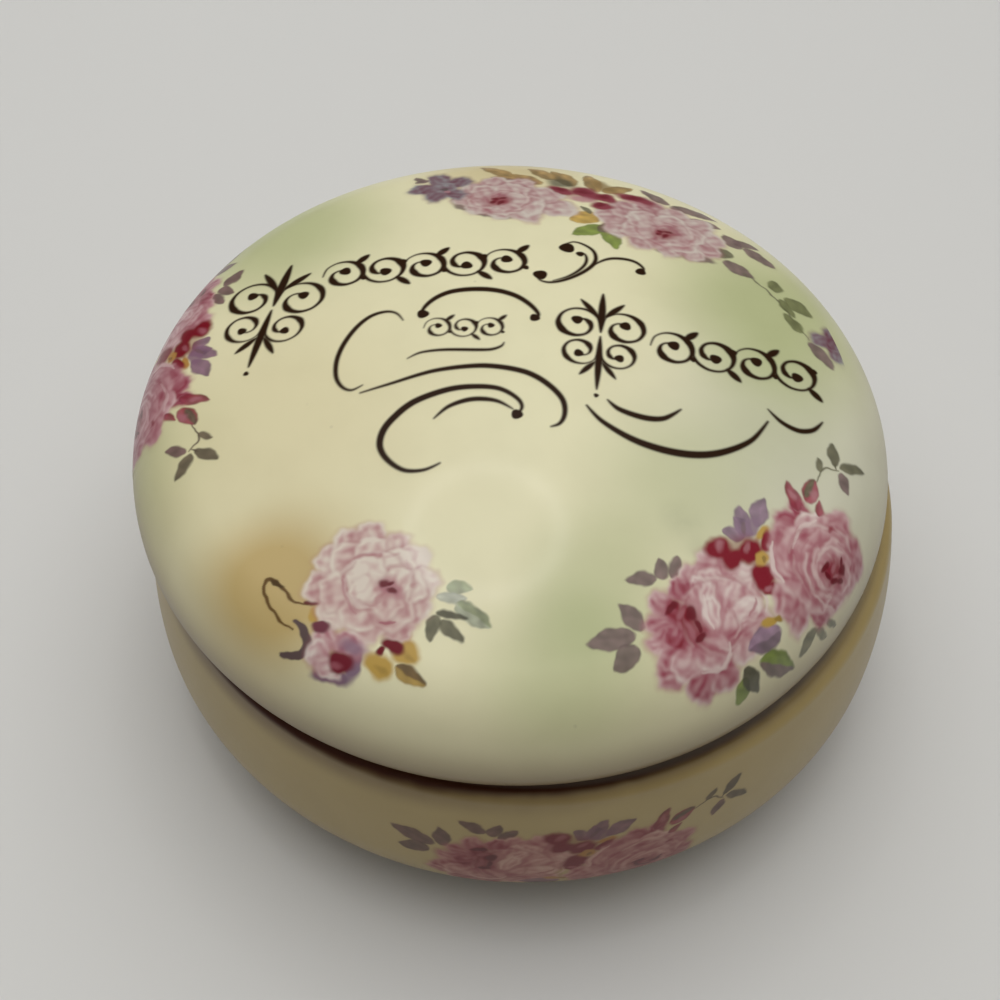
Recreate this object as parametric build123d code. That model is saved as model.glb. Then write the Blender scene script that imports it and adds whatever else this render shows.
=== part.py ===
"""Round covered porcelain box for detachable collars and cuffs.

Two glazed pieces: a low bulging base on a foot ring, and a domed lid whose curled lip stands on a
flat seat round the base's mouth. A collar inside the seat keeps the lid from sliding off.
The origin is the middle of the base, on the table that it stands on, with +Z up.
"""
import os
from math import acos, asin, cos, degrees, sqrt

from build123d import *

# Lid, in millimetres
lid_radius = 90.0
lid_crown_rise = 32.0        # from the widest line up to the top
lid_shoulder_radius = 21.0   # the turn from the crown to the widest line
lid_curl_rise = 9.0          # from the lip's face up to the widest line
lid_curl_radius = 12.0       # the turn from the widest line down to the lip
lid_wall = 4.0
lip_width = 3.5
lip_edge_round = 0.8

# Base
seat_height = 59.0           # the face that carries the lid's lip
belly_swell = 3.1            # how far the belly stands out past the rim
belly_height = 31.0
base_wall = 4.5
rim_round = 3.0              # outer edge of the seat
seat_bearing = 1.2           # seat left under the lip when the lid is pushed right over
inner_shoulder_radius = 7.0

# Collar that stands up inside the seat
collar_height = 7.0
collar_wall = 3.6
collar_round_share = 0.44    # rounding of its top edges, as a share of its wall
collar_root_round = 0.8
collar_lead_round = 2.0      # inner edge under the collar

# Foot
foot_height = 2.0
foot_radius = 67.0
foot_width = 5.0
foot_edge_round = 0.6
well_rise = 1.0              # how far the underside domes up inside the foot ring

# Fit
lid_play = 4.0               # the closed lid can slide this far each way
lid_gap = 0.4                # left at +X between lip and collar, as the lid stands towards -X

# Places that follow from these
lid_shift = lid_play - lid_gap
lid_widest_height = seat_height + lid_curl_rise
lid_top_height = lid_widest_height + lid_crown_rise
shoulder_center_radius = lid_radius - lid_shoulder_radius
curl_center_radius = lid_radius - lid_curl_radius
lip_outer_radius = curl_center_radius + sqrt(lid_curl_radius**2 - lid_curl_rise**2)
lip_inner_radius = lip_outer_radius - lip_width
collar_radius = lip_inner_radius - lid_play
collar_top = seat_height + collar_height
collar_top_round = collar_wall * collar_round_share
mouth_radius = collar_radius - collar_wall
rim_radius = lip_inner_radius + lid_play + seat_bearing + rim_round
rim_height = seat_height - rim_round
belly_radius = rim_radius + belly_swell
under_seat = seat_height - base_wall
floor_height = foot_height + base_wall
lower_belly_radius = belly_height - foot_height
belly_center_radius = belly_radius - lower_belly_radius
foot_inner_radius = foot_radius - foot_width


def crown_radius():
    """Radius of the arc over the top of the lid that runs smoothly into the shoulder."""
    squares = shoulder_center_radius**2 + lid_crown_rise**2 - lid_shoulder_radius**2
    return squares / (2 * (lid_crown_rise - lid_shoulder_radius))


def flank_radius():
    """Radius of the base's side, upright at the belly and leaning in to the rim."""
    rise = rim_height - belly_height
    return (rise**2 + belly_swell**2) / (2 * belly_swell)


def arc_about(center, radius, start, end):
    """Arc of the half section, by its centre and two angles in degrees above level."""
    return CenterArc(center, radius, start, end - start)


def lid_dome(inset):
    """Crown and shoulder arcs of the lid at a depth under its face, from the top to the widest line."""
    crown = crown_radius()
    meeting = degrees(acos(shoulder_center_radius / (crown - lid_shoulder_radius)))
    crown_arc = arc_about((0, lid_top_height - crown), crown - inset, 90, meeting)
    shoulder_center = (shoulder_center_radius, lid_widest_height)
    return [crown_arc, arc_about(shoulder_center, lid_shoulder_radius - inset, meeting, 0)]


def lid_section():
    """Half section of the lid: an even wall that curls in to a flat lip."""
    outer_dome, inner_dome = lid_dome(0), lid_dome(lid_wall)
    curl_center = (curl_center_radius, lid_widest_height)
    inner_curl_radius = lid_curl_radius - lid_wall
    outer_turn = degrees(asin(lid_curl_rise / lid_curl_radius))
    inner_turn = degrees(acos((lip_inner_radius - curl_center_radius) / inner_curl_radius))
    outer_curl = arc_about(curl_center, lid_curl_radius, 0, -outer_turn)
    inner_curl = arc_about(curl_center, inner_curl_radius, 0, -inner_turn)
    lip_corners = [(lip_outer_radius, seat_height), (lip_inner_radius, seat_height)]
    lip = Polyline(*lip_corners, inner_curl @ 1)
    middle = Line(inner_dome[0] @ 0, outer_dome[0] @ 0)
    section = make_face([*outer_dome, outer_curl, lip, inner_curl, *inner_dome, middle])
    return round_corners(section, lip_corners, lip_edge_round)


def base_outside():
    """Outer line of the base, from the foot over the belly and the flank to the flat of the seat."""
    foot_turn = degrees(acos((foot_radius - belly_center_radius) / lower_belly_radius))
    flank = flank_radius()
    flank_turn = degrees(asin((rim_height - belly_height) / flank))
    belly = arc_about((belly_center_radius, belly_height), lower_belly_radius, -foot_turn, 0)
    side = arc_about((belly_radius - flank, belly_height), flank, 0, flank_turn)
    rim = arc_about((rim_radius - rim_round, rim_height), rim_round, 0, 90)
    return [belly, side, rim]


def base_inside():
    """Inner line of the base, from under the seat down the side to the edge of the floor."""
    outer_flank = flank_radius()
    inner_flank = outer_flank - base_wall
    flank_center_radius = belly_radius - outer_flank
    shoulder_center_height = under_seat - inner_shoulder_radius
    reach = inner_flank - inner_shoulder_radius
    turn = asin((shoulder_center_height - belly_height) / reach)
    shoulder_center = (flank_center_radius + reach * cos(turn), shoulder_center_height)
    shoulder = arc_about(shoulder_center, inner_shoulder_radius, 90, degrees(turn))
    side = arc_about((flank_center_radius, belly_height), inner_flank, degrees(turn), 0)
    belly = arc_about((belly_center_radius, belly_height), lower_belly_radius - base_wall, 0, -90)
    return [shoulder, side, belly]


def base_section():
    """Half section of the base: foot ring, belly, seat, collar and the hollow inside."""
    outside, inside = base_outside(), base_inside()
    collar_tips = [(collar_radius, collar_top), (mouth_radius, collar_top)]
    collar_root = (collar_radius, seat_height)
    collar_lead = (mouth_radius, under_seat)
    collar = Polyline(outside[-1] @ 1, collar_root, *collar_tips, collar_lead, inside[0] @ 0)
    well_top = (0, foot_height + well_rise)
    floor = Polyline(inside[-1] @ 1, (0, floor_height), well_top)
    foot_corners = [(foot_inner_radius, 0), (foot_radius, 0)]
    well = ThreePointArc(
        (-foot_inner_radius, foot_height), well_top, (foot_inner_radius, foot_height)
    ).trim(0.5, 1)
    foot = Polyline((foot_inner_radius, foot_height), *foot_corners, outside[0] @ 0)
    section = make_face([*outside, collar, *inside, floor, well, foot])
    section = round_corners(section, collar_tips, collar_top_round)
    section = round_corners(section, [collar_root], collar_root_round)
    section = round_corners(section, [collar_lead], collar_lead_round)
    return round_corners(section, foot_corners, foot_edge_round)


def round_corners(section, corners, radius):
    """Round the corners of a section that lie at the given points."""
    return fillet([section.vertices().sort_by_distance(corner)[0] for corner in corners], radius)


def turned(section):
    """Turn a half section, drawn as radius and height, about the upright axis."""
    return revolve(Plane.XZ * section, Axis.Z)


pieces = {
    "base": turned(base_section()),
    "lid": Pos(-lid_shift, 0, 0) * turned(lid_section()),
}

os.makedirs("parts", exist_ok=True)
for name, piece in pieces.items():
    export_step(piece, f"parts/{name}.step")

print(f"clear mouth {2 * mouth_radius:.1f} mm, rim {rim_radius:.1f} mm, lip {lip_inner_radius:.2f} mm")
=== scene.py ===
"""The looks of a round porcelain collar box: glazed shells, rose prints, brown scrolls and the studio.

It is laid out as an add-on: the sizes and colours are properties, and each piece has its operator.
"""
from math import acos, asin, cos, degrees, radians, sin, sqrt, tau

import bmesh
import bpy
import numpy as np
from bpy.props import FloatProperty, FloatVectorProperty, PointerProperty
from mathutils import Matrix, Vector


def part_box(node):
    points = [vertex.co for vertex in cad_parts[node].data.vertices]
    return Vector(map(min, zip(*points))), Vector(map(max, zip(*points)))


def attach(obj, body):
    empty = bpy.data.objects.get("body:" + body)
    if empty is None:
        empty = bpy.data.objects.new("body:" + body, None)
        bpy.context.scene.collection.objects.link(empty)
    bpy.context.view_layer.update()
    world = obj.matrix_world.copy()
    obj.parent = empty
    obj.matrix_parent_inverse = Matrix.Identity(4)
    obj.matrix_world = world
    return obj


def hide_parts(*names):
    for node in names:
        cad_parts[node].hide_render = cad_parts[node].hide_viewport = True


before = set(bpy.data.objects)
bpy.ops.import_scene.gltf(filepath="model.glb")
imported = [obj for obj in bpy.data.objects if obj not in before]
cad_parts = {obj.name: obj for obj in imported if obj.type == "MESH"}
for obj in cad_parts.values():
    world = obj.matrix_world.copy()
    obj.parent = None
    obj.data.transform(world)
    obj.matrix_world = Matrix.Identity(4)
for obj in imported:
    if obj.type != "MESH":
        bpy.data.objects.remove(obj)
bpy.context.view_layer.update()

bl_info = {
    "name": "Porcelain collar box",
    "version": (1, 0, 0),
    "blender": (4, 5, 0),
    "location": "3D View > Sidebar > Collar Box",
    "description": "Builds the glazed shells, prints and studio of a round collar box",
    "category": "Object",
}

MM = 0.001
lid_low, lid_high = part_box("lid")
base_low, base_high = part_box("base")
LID_MIDDLE = (lid_low.x + lid_high.x) / 2
# Radius round the lid's middle where the painted shade on the base's seat begins
GROOVE_RADIUS = (lid_high.x - lid_low.x) / 2 - 1.4 * MM

# Meshes
STEP = 0.7 * MM          # between points of a shell's half section
PRINT_STEP = 0.3 * MM    # between points of the line that a print follows
TURNS = 256              # faces round a shell
SPOKES = 40              # steps from the middle of a flat disc to its edge
CIRCLE_SIDES = 96        # sides of the floor and of the ring lamp
MERGE_GAP = 0.01 * MM    # points nearer than this are one point
LIFT = 0.025 * MM        # how far a print lies off the glaze
BARE_COVER = 0.004       # a face with less print than this at all its corners is cut away

# Small forms of the base, in metres
COLLAR_LEAD = 2 * MM
COLLAR_ROOT = 0.8 * MM
FOOT_ROUND = 0.6 * MM
WELL_RISE = 1 * MM

# Glazes
GROUND_GLOSS = 0.22
LID_PRINT_GLOSS = 0.45
BASE_PRINT_GLOSS = GROUND_GLOSS / 2
GLAZE_ROUGHNESS = 0.42
GRAIN_ROUGHNESS = 0.08
BISCUIT_ROUGHNESS = 0.3
COAT_ROUGHNESS = 0.125
SPECULAR_LEVEL = 0.4
BUMP_STRENGTH = 0.12
BUMP_DEPTH = 0.05 * MM
# Strengths of the painted shade on the lid's curl, just above its lip, and on the seat under the lid
CURL_SHADE, LIP_SHADE, GROOVE_SHADE = 0.6, 0.8, 0.6
CLOUD_CORE = 0.12        # share of an airbrushed patch that has its full strength
MOTTLE_BROWN = (0.42, 0.38, 0.26, 1)
SPECK_BROWN = (0.16, 0.12, 0.07, 1)
MOTTLE_SHARE, SPECK_SHARE, SMUDGE_SHARE, BISCUIT_STAIN = 0.07, 0.12, 0.5, 0.4

# Where each mask of the glazes begins and where it is full: heights, distances and gaps in metres
# The curl, lip, shade and groove zones are where painted shade lies
CURL_ZONE = (lid_low.z + 1 * MM, lid_low.z + 27 * MM)
LIP_ZONE = (lid_low.z + 3 * MM, lid_low.z + 19 * MM)
LIP_GLAZED = (lid_low.z + 0.3 * MM, lid_low.z + 0.7 * MM)
FOOT_ZONE = (8 * MM, 34 * MM)
SHADE_ZONE, GROOVE_ZONE = (-9 * MM, -2 * MM), (-2.6 * MM, -1.2 * MM)      # from the seat
SHADE_REACH, GROOVE_REACH = 5 * MM, 2 * MM
FACE_GLAZED = (0.2 * MM, 0.5 * MM)
SEAT_INNER, SEAT_OUTER = (-8.4 * MM, -7.8 * MM), (-3 * MM, -1 * MM)       # from the rim

# The same for noises, cells and the cover of a print, from 0 to 1
MOTTLE_RANGE = (0.35, 0.75)
RARE_RANGE = (0.66, 0.72)
SPECK_RANGE = (0.04, 0.1)
COVER_RANGE = (0.05, 0.7)

# How fine each noise is, per metre
CLOUD_NOISE = 22
SMUDGE_NOISE = 220
GROOVE_NOISE = 140
MOTTLE_NOISE = 60
SPECK_CELLS = 170
RARE_NOISE = 37
BISCUIT_NOISE = 300
GRAIN_NOISE = 900

# Studio: lengths in metres, the camera's lens and film in millimetres
FLOOR_RADIUS = 1.2
FLOOR_ROUGHNESS = 0.7
BACKDROP = 0.5
LAMP_DISTANCE = 1.6
LAMP_AIM = Vector((0, 0, 0.05))
BACK_SIZE = 2.4
BACK_RISE = radians(72)
BACK_AZIMUTH = radians(100)
TOP_SIZE = 3
OVERHEAD = radians(90)
RING_RADIUS = 0.215
RING_WIDTH = 0.03
RING_MIDDLE = (-0.064, 0.225, 1.15)
WHITE = (1, 1, 1, 1)
BLACK = (0, 0, 0, 1)
CAMERA_AIM = Vector((0, 0, 0.045))
CAMERA_LENS = 54
CAMERA_FILM = 36
LEAN_RIGHT = 0.0151      # how far the camera looks past its aim, as a share of the distance
LEAN_UP = 0.0004


def length(name, description, default):
    """A size in metres that a user can change."""
    return amount(name, description, default, unit="LENGTH", precision=5)


def amount(name, description, default, **kind):
    """A number that a user can change."""
    return FloatProperty(name=name, description=description, default=default, **kind)


def colour(name, description, red, green, blue):
    """A colour that a user can change, given as it looks on a screen, from 0 to 255."""
    linear = [screen_to_linear(part / 255) for part in (red, green, blue)]
    return FloatVectorProperty(
        name=name, description=description, default=linear, subtype="COLOR", min=0, max=1, precision=4
    )


def screen_to_linear(part):
    """One part of a screen colour as the linear light that shaders work in."""
    return part / 12.92 if part <= 0.04045 else ((part + 0.055) / 1.055) ** 2.4


class LidSizes(bpy.types.PropertyGroup):
    """Sizes of the domed lid."""

    radius: length("Radius", "Widest radius of the lid", (lid_high.x - lid_low.x) / 2)
    crown_rise: length("Crown rise", "From the widest line up to the top", 32 * MM)
    shoulder: length("Shoulder", "Radius of the turn from the crown to the side", 21 * MM)
    curl_rise: length("Curl rise", "From the lip's face up to the widest line", 9 * MM)
    curl: length("Curl", "Radius of the turn from the side down to the lip", 12 * MM)
    wall: length("Wall", "Thickness of the lid", 4 * MM)
    lip: length("Lip", "Width of the face that the lid stands on", 3.5 * MM)
    lip_round: length("Lip round", "Rounding of the lip's edges", 0.8 * MM)


class BaseSizes(bpy.types.PropertyGroup):
    """Sizes of the bulging base."""

    radius: length("Radius", "Widest radius of the base", (base_high.x - base_low.x) / 2)
    belly_height: length("Belly height", "Height of the widest line", 31 * MM)
    swell: length("Swell", "How far the belly stands out past the rim", 3.1 * MM)
    rim_round: length("Rim round", "Rounding of the seat's outer edge", 3 * MM)
    seat: length("Seat", "Height of the face that carries the lid", lid_low.z)
    wall: length("Wall", "Thickness of the base", 4.5 * MM)
    inner_shoulder: length("Inner shoulder", "Radius inside, under the seat", 7 * MM)
    collar_rise: length("Collar rise", "Height of the collar above the seat", 7 * MM)
    collar_wall: length("Collar wall", "Thickness of the collar", 3.6 * MM)
    collar_round: length("Collar round", "Rounding of the collar's top edges", 1.58 * MM)
    collar_play: length("Play", "Room between the lid's lip and the collar", 4 * MM)
    foot_radius: length("Foot radius", "Outer radius of the foot ring", 67 * MM)
    foot_width: length("Foot width", "Width of the foot ring", 5 * MM)
    foot_rise: length("Foot rise", "Height of the foot ring", 2 * MM)


class GlazeColours(bpy.types.PropertyGroup):
    """Colours of the glazes and of the unglazed biscuit."""

    cream: colour("Cream", "Ground of the lid", 229, 223, 184)
    # Painted shade on the lid's lower curl; the same tan is also the stain of the unglazed biscuit
    shade_and_stain_tan: colour("Curl tan", "Ground of the lid towards its lip", 196, 176, 130)
    # Painted shade on the lid just above its lip
    lip_shade_brown: colour("Lip brown", "Ground of the lid beside its lip", 116, 88, 56)
    # Painted reflection: the pale grey that a grazing reflection lays over the lid's right side
    grey: colour("Grey", "Pale grey green of the lid's right side", 206, 204, 182)
    green: colour("Green", "Airbrushed green clouds", 182, 187, 138)
    green_shade: colour("Green shade", "Smudges of grey green", 160, 163, 128)
    ochre: colour("Ochre", "Airbrushed ochre clouds", 194, 170, 114)
    tan: colour("Tan", "Ground of the base", 176, 155, 104)
    foot_tan: colour("Foot tan", "Ground of the base near its foot", 172, 150, 106)
    # Painted shade: a dark brown that stands in for the shadow in the gap between the lid's lip and the base
    groove_shade: colour("Groove", "Brown line where lid and base meet", 66, 28, 10)
    inside: colour("Inside", "Plain glaze inside", 228, 224, 204)
    biscuit: colour("Biscuit", "Unglazed faces that stand on something", 214, 204, 180)


class Inks(bpy.types.PropertyGroup):
    """Colours of the printed flowers and scrolls."""

    rose_white: colour("Rose white", "Rims of the palest petals", 240, 226, 220)
    rose_pale: colour("Rose pale", "Outer parts of the petals", 222, 190, 190)
    rose_pink: colour("Rose pink", "Middle of the petals", 198, 146, 153)
    rose_deep: colour("Rose deep", "Roots of the petals", 170, 88, 104)
    crimson: colour("Crimson", "Hearts of the roses and the small blossoms", 140, 14, 38)
    mauve: colour("Mauve", "Mauve petals", 152, 126, 148)
    slate: colour("Slate", "Grey mauve leaves", 130, 109, 108)
    olive: colour("Olive", "Grey green leaves and stems", 118, 116, 92)
    green: colour("Leaf green", "Fresh leaves", 122, 142, 58)
    yellow: colour("Yellow", "Yellow leaves", 205, 170, 84)
    ochre: colour("Leaf ochre", "Ochre foliage", 180, 150, 96)
    tendril: colour("Tendril", "Brown tendrils", 112, 84, 44)
    scroll: colour("Scroll", "Brown of the scrollwork", 40, 19, 1)


class Studio(bpy.types.PropertyGroup):
    """Floor, lamps and camera."""

    floor: colour("Floor", "Colour of the floor", 214, 213, 209)
    back_power: amount("Back softbox", "Power of the lamp behind", 13.6, unit="POWER")
    top_power: amount("Top softbox", "Power of the lamp overhead", 21.6, unit="POWER")
    ring_strength: amount("Ring", "Strength of the ring lamp", 11)
    fill: amount("Fill", "Strength of the light from all round", 0.04)
    camera_distance: length("Distance", "From the camera to the middle of the box", 381.4 * MM)
    camera_rise: amount("Elevation", "How far the camera looks down", radians(52.524), subtype="ANGLE")
    camera_roll: amount("Roll", "How far the camera is tipped", radians(3.501), subtype="ANGLE")


def arc(center, radius, start, end, step):
    """Points of an arc of a half section, with angles in degrees above level, about a step apart."""
    count = max(2, round(abs(radians(end - start)) * radius / step))
    angles = [radians(start + (end - start) * number / count) for number in range(count + 1)]
    return [(center[0] + radius * cos(angle), center[1] + radius * sin(angle)) for angle in angles]


def lid_sizes():
    """The sizes of the lid."""
    return bpy.context.scene.collar_box_lid


def base_sizes():
    """The sizes of the base."""
    return bpy.context.scene.collar_box_base


def crown_radius(lid):
    """Radius of the arc over the top of the lid that runs smoothly into the shoulder."""
    squares = (lid.radius - lid.shoulder) ** 2 + lid.crown_rise**2 - lid.shoulder**2
    return squares / (2 * (lid.crown_rise - lid.shoulder))


def lid_face(lid, inset=0.0, step=STEP):
    """Crown, shoulder and curl of the lid at a depth under its face, from the top down to the lip."""
    widest = base_sizes().seat + lid.curl_rise
    shoulder_center, crown = lid.radius - lid.shoulder, crown_radius(lid)
    meeting = degrees(acos(shoulder_center / (crown - lid.shoulder)))
    top = widest + lid.crown_rise
    curl = lid.curl - inset
    inner_lip = sqrt(lid.curl**2 - lid.curl_rise**2) - lid.lip
    turn = asin(lid.curl_rise / lid.curl) if inset <= 0 else acos(inner_lip / curl)
    return [
        *arc((0, top - crown), crown - inset, 90, meeting, step),
        *arc((shoulder_center, widest), lid.shoulder - inset, meeting, 0, step)[1:],
        *arc((lid.radius - lid.curl, widest), curl, 0, -degrees(turn), step / 2)[1:],
    ]


def lid_outline(lid):
    """Half section of the lid with its two sides: outside from the top down, and inside back up."""
    seat = base_sizes().seat
    outside, inside = lid_face(lid), lid_face(lid, lid.wall)
    outer, inner = outside[-1][0], outside[-1][0] - lid.lip
    edge = lid.lip_round
    lip = arc((outer - edge * 1.4, seat + edge), edge, -20, -90, edge / 4)
    lip += arc((inner + edge, seat + edge), edge, -90, -180, edge / 4)
    return sided(outside[:-1] + lip, 1) + sided(inside[::-1], 0)


def sided(points, side):
    """Points of a half section with their side: 1 for the decorated face, 0 for the plain inside."""
    return [(radius, height, side) for radius, height in points]


def base_face(base, inset=0.0, step=STEP):
    """Rim, flank and belly of the base at a depth under its face, from the seat down."""
    rim, center = base.radius - base.swell, base.radius - base.belly_height + base.foot_rise
    rise = base.seat - base.rim_round - base.belly_height
    flank = (rise**2 + base.swell**2) / (2 * base.swell)
    lower = base.belly_height - base.foot_rise
    if inset > 0:
        under = base.seat - inset - base.inner_shoulder
        reach = flank - inset - base.inner_shoulder
        turn = asin((under - base.belly_height) / reach)
        shoulder = (base.radius - flank + reach * cos(turn), under)
        top, end = arc(shoulder, base.inner_shoulder, 90, degrees(turn), step / 2), -90
    else:
        turn, end = asin(rise / flank), -degrees(acos((base.foot_radius - center) / lower))
        edge = (rim - base.rim_round, base.seat - base.rim_round)
        top = arc(edge, base.rim_round - inset, 90, degrees(turn), step / 4)
    return [
        *top,
        *arc((base.radius - flank, base.belly_height), flank - inset, degrees(turn), 0, step)[1:],
        *arc((center, base.belly_height), lower - inset, 0, end, step)[1:],
    ]


def base_outline(base):
    """Half section of the base with its two sides, from the floor over the collar and down to the foot."""
    outside, inside = base_face(base), base_face(base, base.wall)
    lid = lid_sizes()
    lip_inner = lid_face(lid)[-1][0] - lid.lip
    collar, top = lip_inner - base.collar_play, base.seat + base.collar_rise
    mouth, edge = collar - base.collar_wall, base.collar_round
    under, lead, root, foot = base.seat - base.wall, COLLAR_LEAD, COLLAR_ROOT, FOOT_ROUND
    inner_foot = base.foot_radius - base.foot_width
    floor = base.foot_rise + base.wall
    shares = [spoke / SPOKES for spoke in range(SPOKES + 1)]
    hollow = [
        *[(inside[-1][0] * share, floor) for share in shares[:-1]],
        *inside[::-1],
        *arc((mouth + lead, under + lead), lead, 270, 180, lead / 6),
        *arc((mouth + edge, top - edge), edge, 180, 90, edge / 6),
        *arc((collar - edge, top - edge), edge, 90, 0, edge / 6),
        *arc((collar + root, base.seat + root), root, 180, 270, root / 4),
    ]
    shown = [*outside, *arc((base.foot_radius - foot, foot), foot, 0, -90, foot / 4)]
    underneath = [
        *arc((inner_foot + foot, foot), foot, -90, -180, foot / 4),
        *[(inner_foot * (1 - share), base.foot_rise + WELL_RISE * share * (2 - share)) for share in shares],
    ]
    return sided(hollow, 0) + sided(shown, 1) + sided(underneath, 0)


def shell(name, outline, middle):
    """A body of revolution: the half section is turned through a quarter, and the quarter goes round."""
    body = bmesh.new()
    layer = body.verts.layers.float.new("outside")
    points = [body.verts.new((middle + radius, 0, height)) for radius, height, side in outline]
    for point, (radius, height, side) in zip(points, outline):
        point[layer] = side
    edges = [body.edges.new(pair) for pair in zip(points, points[1:])]
    center = (middle, 0, 0)
    bmesh.ops.spin(body, geom=points + edges, axis=(0, 0, 1), cent=center, steps=TURNS // 4, angle=tau / 4)
    quarter = body.verts[:] + body.edges[:] + body.faces[:]
    for place in range(1, 4):
        copy = bmesh.ops.duplicate(body, geom=quarter)["geom"]
        turn = Matrix.Rotation(place * tau / 4, 3, "Z")
        bmesh.ops.rotate(body, verts=points_of(copy), cent=center, matrix=turn)
    bmesh.ops.remove_doubles(body, verts=body.verts, dist=MERGE_GAP)
    bmesh.ops.recalc_face_normals(body, faces=body.faces)
    return finished(name, body)


def points_of(parts):
    """The points among parts of a mesh."""
    return [part for part in parts if isinstance(part, bmesh.types.BMVert)]


def finished(name, body):
    """The mesh as a smooth object of the scene."""
    mesh = bpy.data.meshes.new(name)
    body.to_mesh(mesh)
    body.free()
    mesh.shade_smooth()
    piece = bpy.data.objects.new(name, mesh)
    bpy.context.scene.collection.objects.link(piece)
    return piece


# What the colours of the prints are multiplied by, in red, green and blue
LID_TONE = (0.82, 0.79, 0.75)
LEFT_TONE = (0.7, 0.54, 0.56)
BASE_TONE = (0.58, 0.4, 0.32)


def along_line(outline):
    """Length of an outline up to each of its points."""
    steps = np.diff(np.array(outline), axis=0)
    return np.concatenate([[0], np.cumsum(np.hypot(*steps.T))])


def at_length(run, line, lengths):
    """Radius and height of a half section at lengths along it."""
    return [np.interp(lengths, run, part) for part in line]


# A patch starts and reaches this much further than its print, because the face curves away
START_MARGIN = 1.12
SWEEP_MARGIN = 1.18


def print_patch(name, outline, middle, place, spread, painter, cell, tone):
    """A skin on a shell's face that carries a print, cut away where nothing is printed.

    The place is the azimuth and the length down the outline of the print's origin, and its turn.
    The spread is the print's low and high corner, in millimetres from that origin.
    """
    azimuth, down, turn = place
    run, line = along_line(outline), np.array(outline).T
    radius, height = at_length(run, line, down)
    ahead = at_length(run, line, down + 0.1 * MM)
    slope = np.array([ahead[0] - radius, ahead[1] - height])
    slope = slope / np.hypot(*slope)
    out = np.array([cos(azimuth), sin(azimuth), 0])
    east = np.array([-sin(azimuth), cos(azimuth), 0])
    north = -(slope[0] * out + slope[1] * np.array([0, 0, 1]))
    level = cos(turn) * east + sin(turn) * north
    upright = cos(turn) * north - sin(turn) * east
    origin = radius * out + np.array([middle, 0, height])

    (left, low), (right, high) = spread
    corners = [
        (x * cos(turn) - y * sin(turn), x * sin(turn) + y * cos(turn))
        for x in (left, right) for y in (low, high)
    ]
    top = down - max(y for x, y in corners) * MM
    bottom = min(down - min(y for x, y in corners) * MM, run[-1])
    reach = [x * MM / radius for x, y in corners]
    start, sweep = azimuth + min(reach) * START_MARGIN, (max(reach) - min(reach)) * SWEEP_MARGIN
    body = bmesh.new()
    columns, rows = round(sweep * radius / (cell * MM)), round((bottom - top) / (cell * MM))
    bmesh.ops.create_grid(body, x_segments=columns, y_segments=rows, size=0.5)
    share = 0.5 + np.array([vert.co for vert in body.verts])
    lengths = bottom + (top - bottom) * share[:, 1]
    radii, heights = at_length(run, line, lengths)
    turns = start + sweep * share[:, 0]
    spots = np.stack([middle + radii * np.cos(turns), radii * np.sin(turns), heights], axis=-1)
    for vert, spot in zip(body.verts, spots.tolist()):
        vert.co = spot
    offset = spots - origin
    flat = np.stack([offset @ level, offset @ upright], axis=-1)
    stretch = np.linalg.norm(offset, axis=1) / np.maximum(np.linalg.norm(flat, axis=1), 1e-9)
    flat *= stretch[:, None] / MM
    ink = Print(flat[:, 0], flat[:, 1])
    painter(ink)
    ink.paint *= tone
    return printed(name, body, ink)


def printed(name, body, ink):
    """Keep the faces that carry a print, with its colour and cover at their corners."""
    layer = body.verts.layers.float_color.new("print")
    body.verts.index_update()
    for vert, paint, cover in zip(body.verts, ink.paint.tolist(), ink.cover.tolist()):
        vert[layer] = (*paint, cover)
    bare = (ink.cover < BARE_COVER).tolist()
    empty = [face for face in body.faces if all(bare[vert.index] for vert in face.verts)]
    bmesh.ops.delete(body, geom=empty, context="FACES")
    bmesh.ops.recalc_face_normals(body, faces=body.faces)
    if sum(face.normal.z for face in body.faces) < 0:
        bmesh.ops.reverse_faces(body, faces=body.faces)
    return finished(name, body)


def lid_height(lid, radii):
    """Height of the lid's face at distances from its middle, from the top to the widest line."""
    widest, across = base_sizes().seat + lid.curl_rise, lid.radius - lid.shoulder
    crown = crown_radius(lid)
    meeting = crown * across / (crown - lid.shoulder)
    top = widest + lid.crown_rise
    dome = top - crown + np.sqrt(np.maximum((crown + LIFT) ** 2 - radii**2, 0))
    shoulder = widest + np.sqrt(np.maximum((lid.shoulder + LIFT) ** 2 - (radii - across) ** 2, 0))
    return np.where(radii <= meeting, dome, shoulder)


def crown_patch(name, lid, middle, spread, painter, cell):
    """A skin on the crown that carries a print drawn as it looks from above, in the frame's millimetres."""
    (left, low), (right, high) = spread
    wide, deep = (right - left) / 2, (high - low) / 2
    body = bmesh.new()
    place = Matrix.Translation((MM * (left + wide), MM * (low + deep), 0))
    place @= Matrix.Diagonal((wide * MM, deep * MM, 1, 1))
    columns, rows = round(2 * wide / cell), round(2 * deep / cell)
    bmesh.ops.create_grid(body, x_segments=columns, y_segments=rows, size=1, matrix=place)
    spots = np.array([vert.co for vert in body.verts])
    heights = lid_height(lid, np.hypot(spots[:, 0] - middle, spots[:, 1]))
    for vert, height in zip(body.verts, heights.tolist()):
        vert.co.z = height
    ink = Print(spots[:, 0] / MM, spots[:, 1] / MM, steady=True)
    painter(ink)
    return printed(name, body, ink)


def ease(low, high, value):
    """0 below low, 1 above high and smooth between."""
    share = np.clip((value - low) / (high - low), 0, 1)
    return share * share * (3 - 2 * share)


ROSE_STOPS = (0, 0.25, 0.5, 0.75, 1)
INK_NAMES = ("mauve", "slate", "olive", "green", "yellow", "ochre", "crimson", "tendril", "scroll")
NIB_ANGLE = radians(35)
SMOOTH_PASSES = 3

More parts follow.
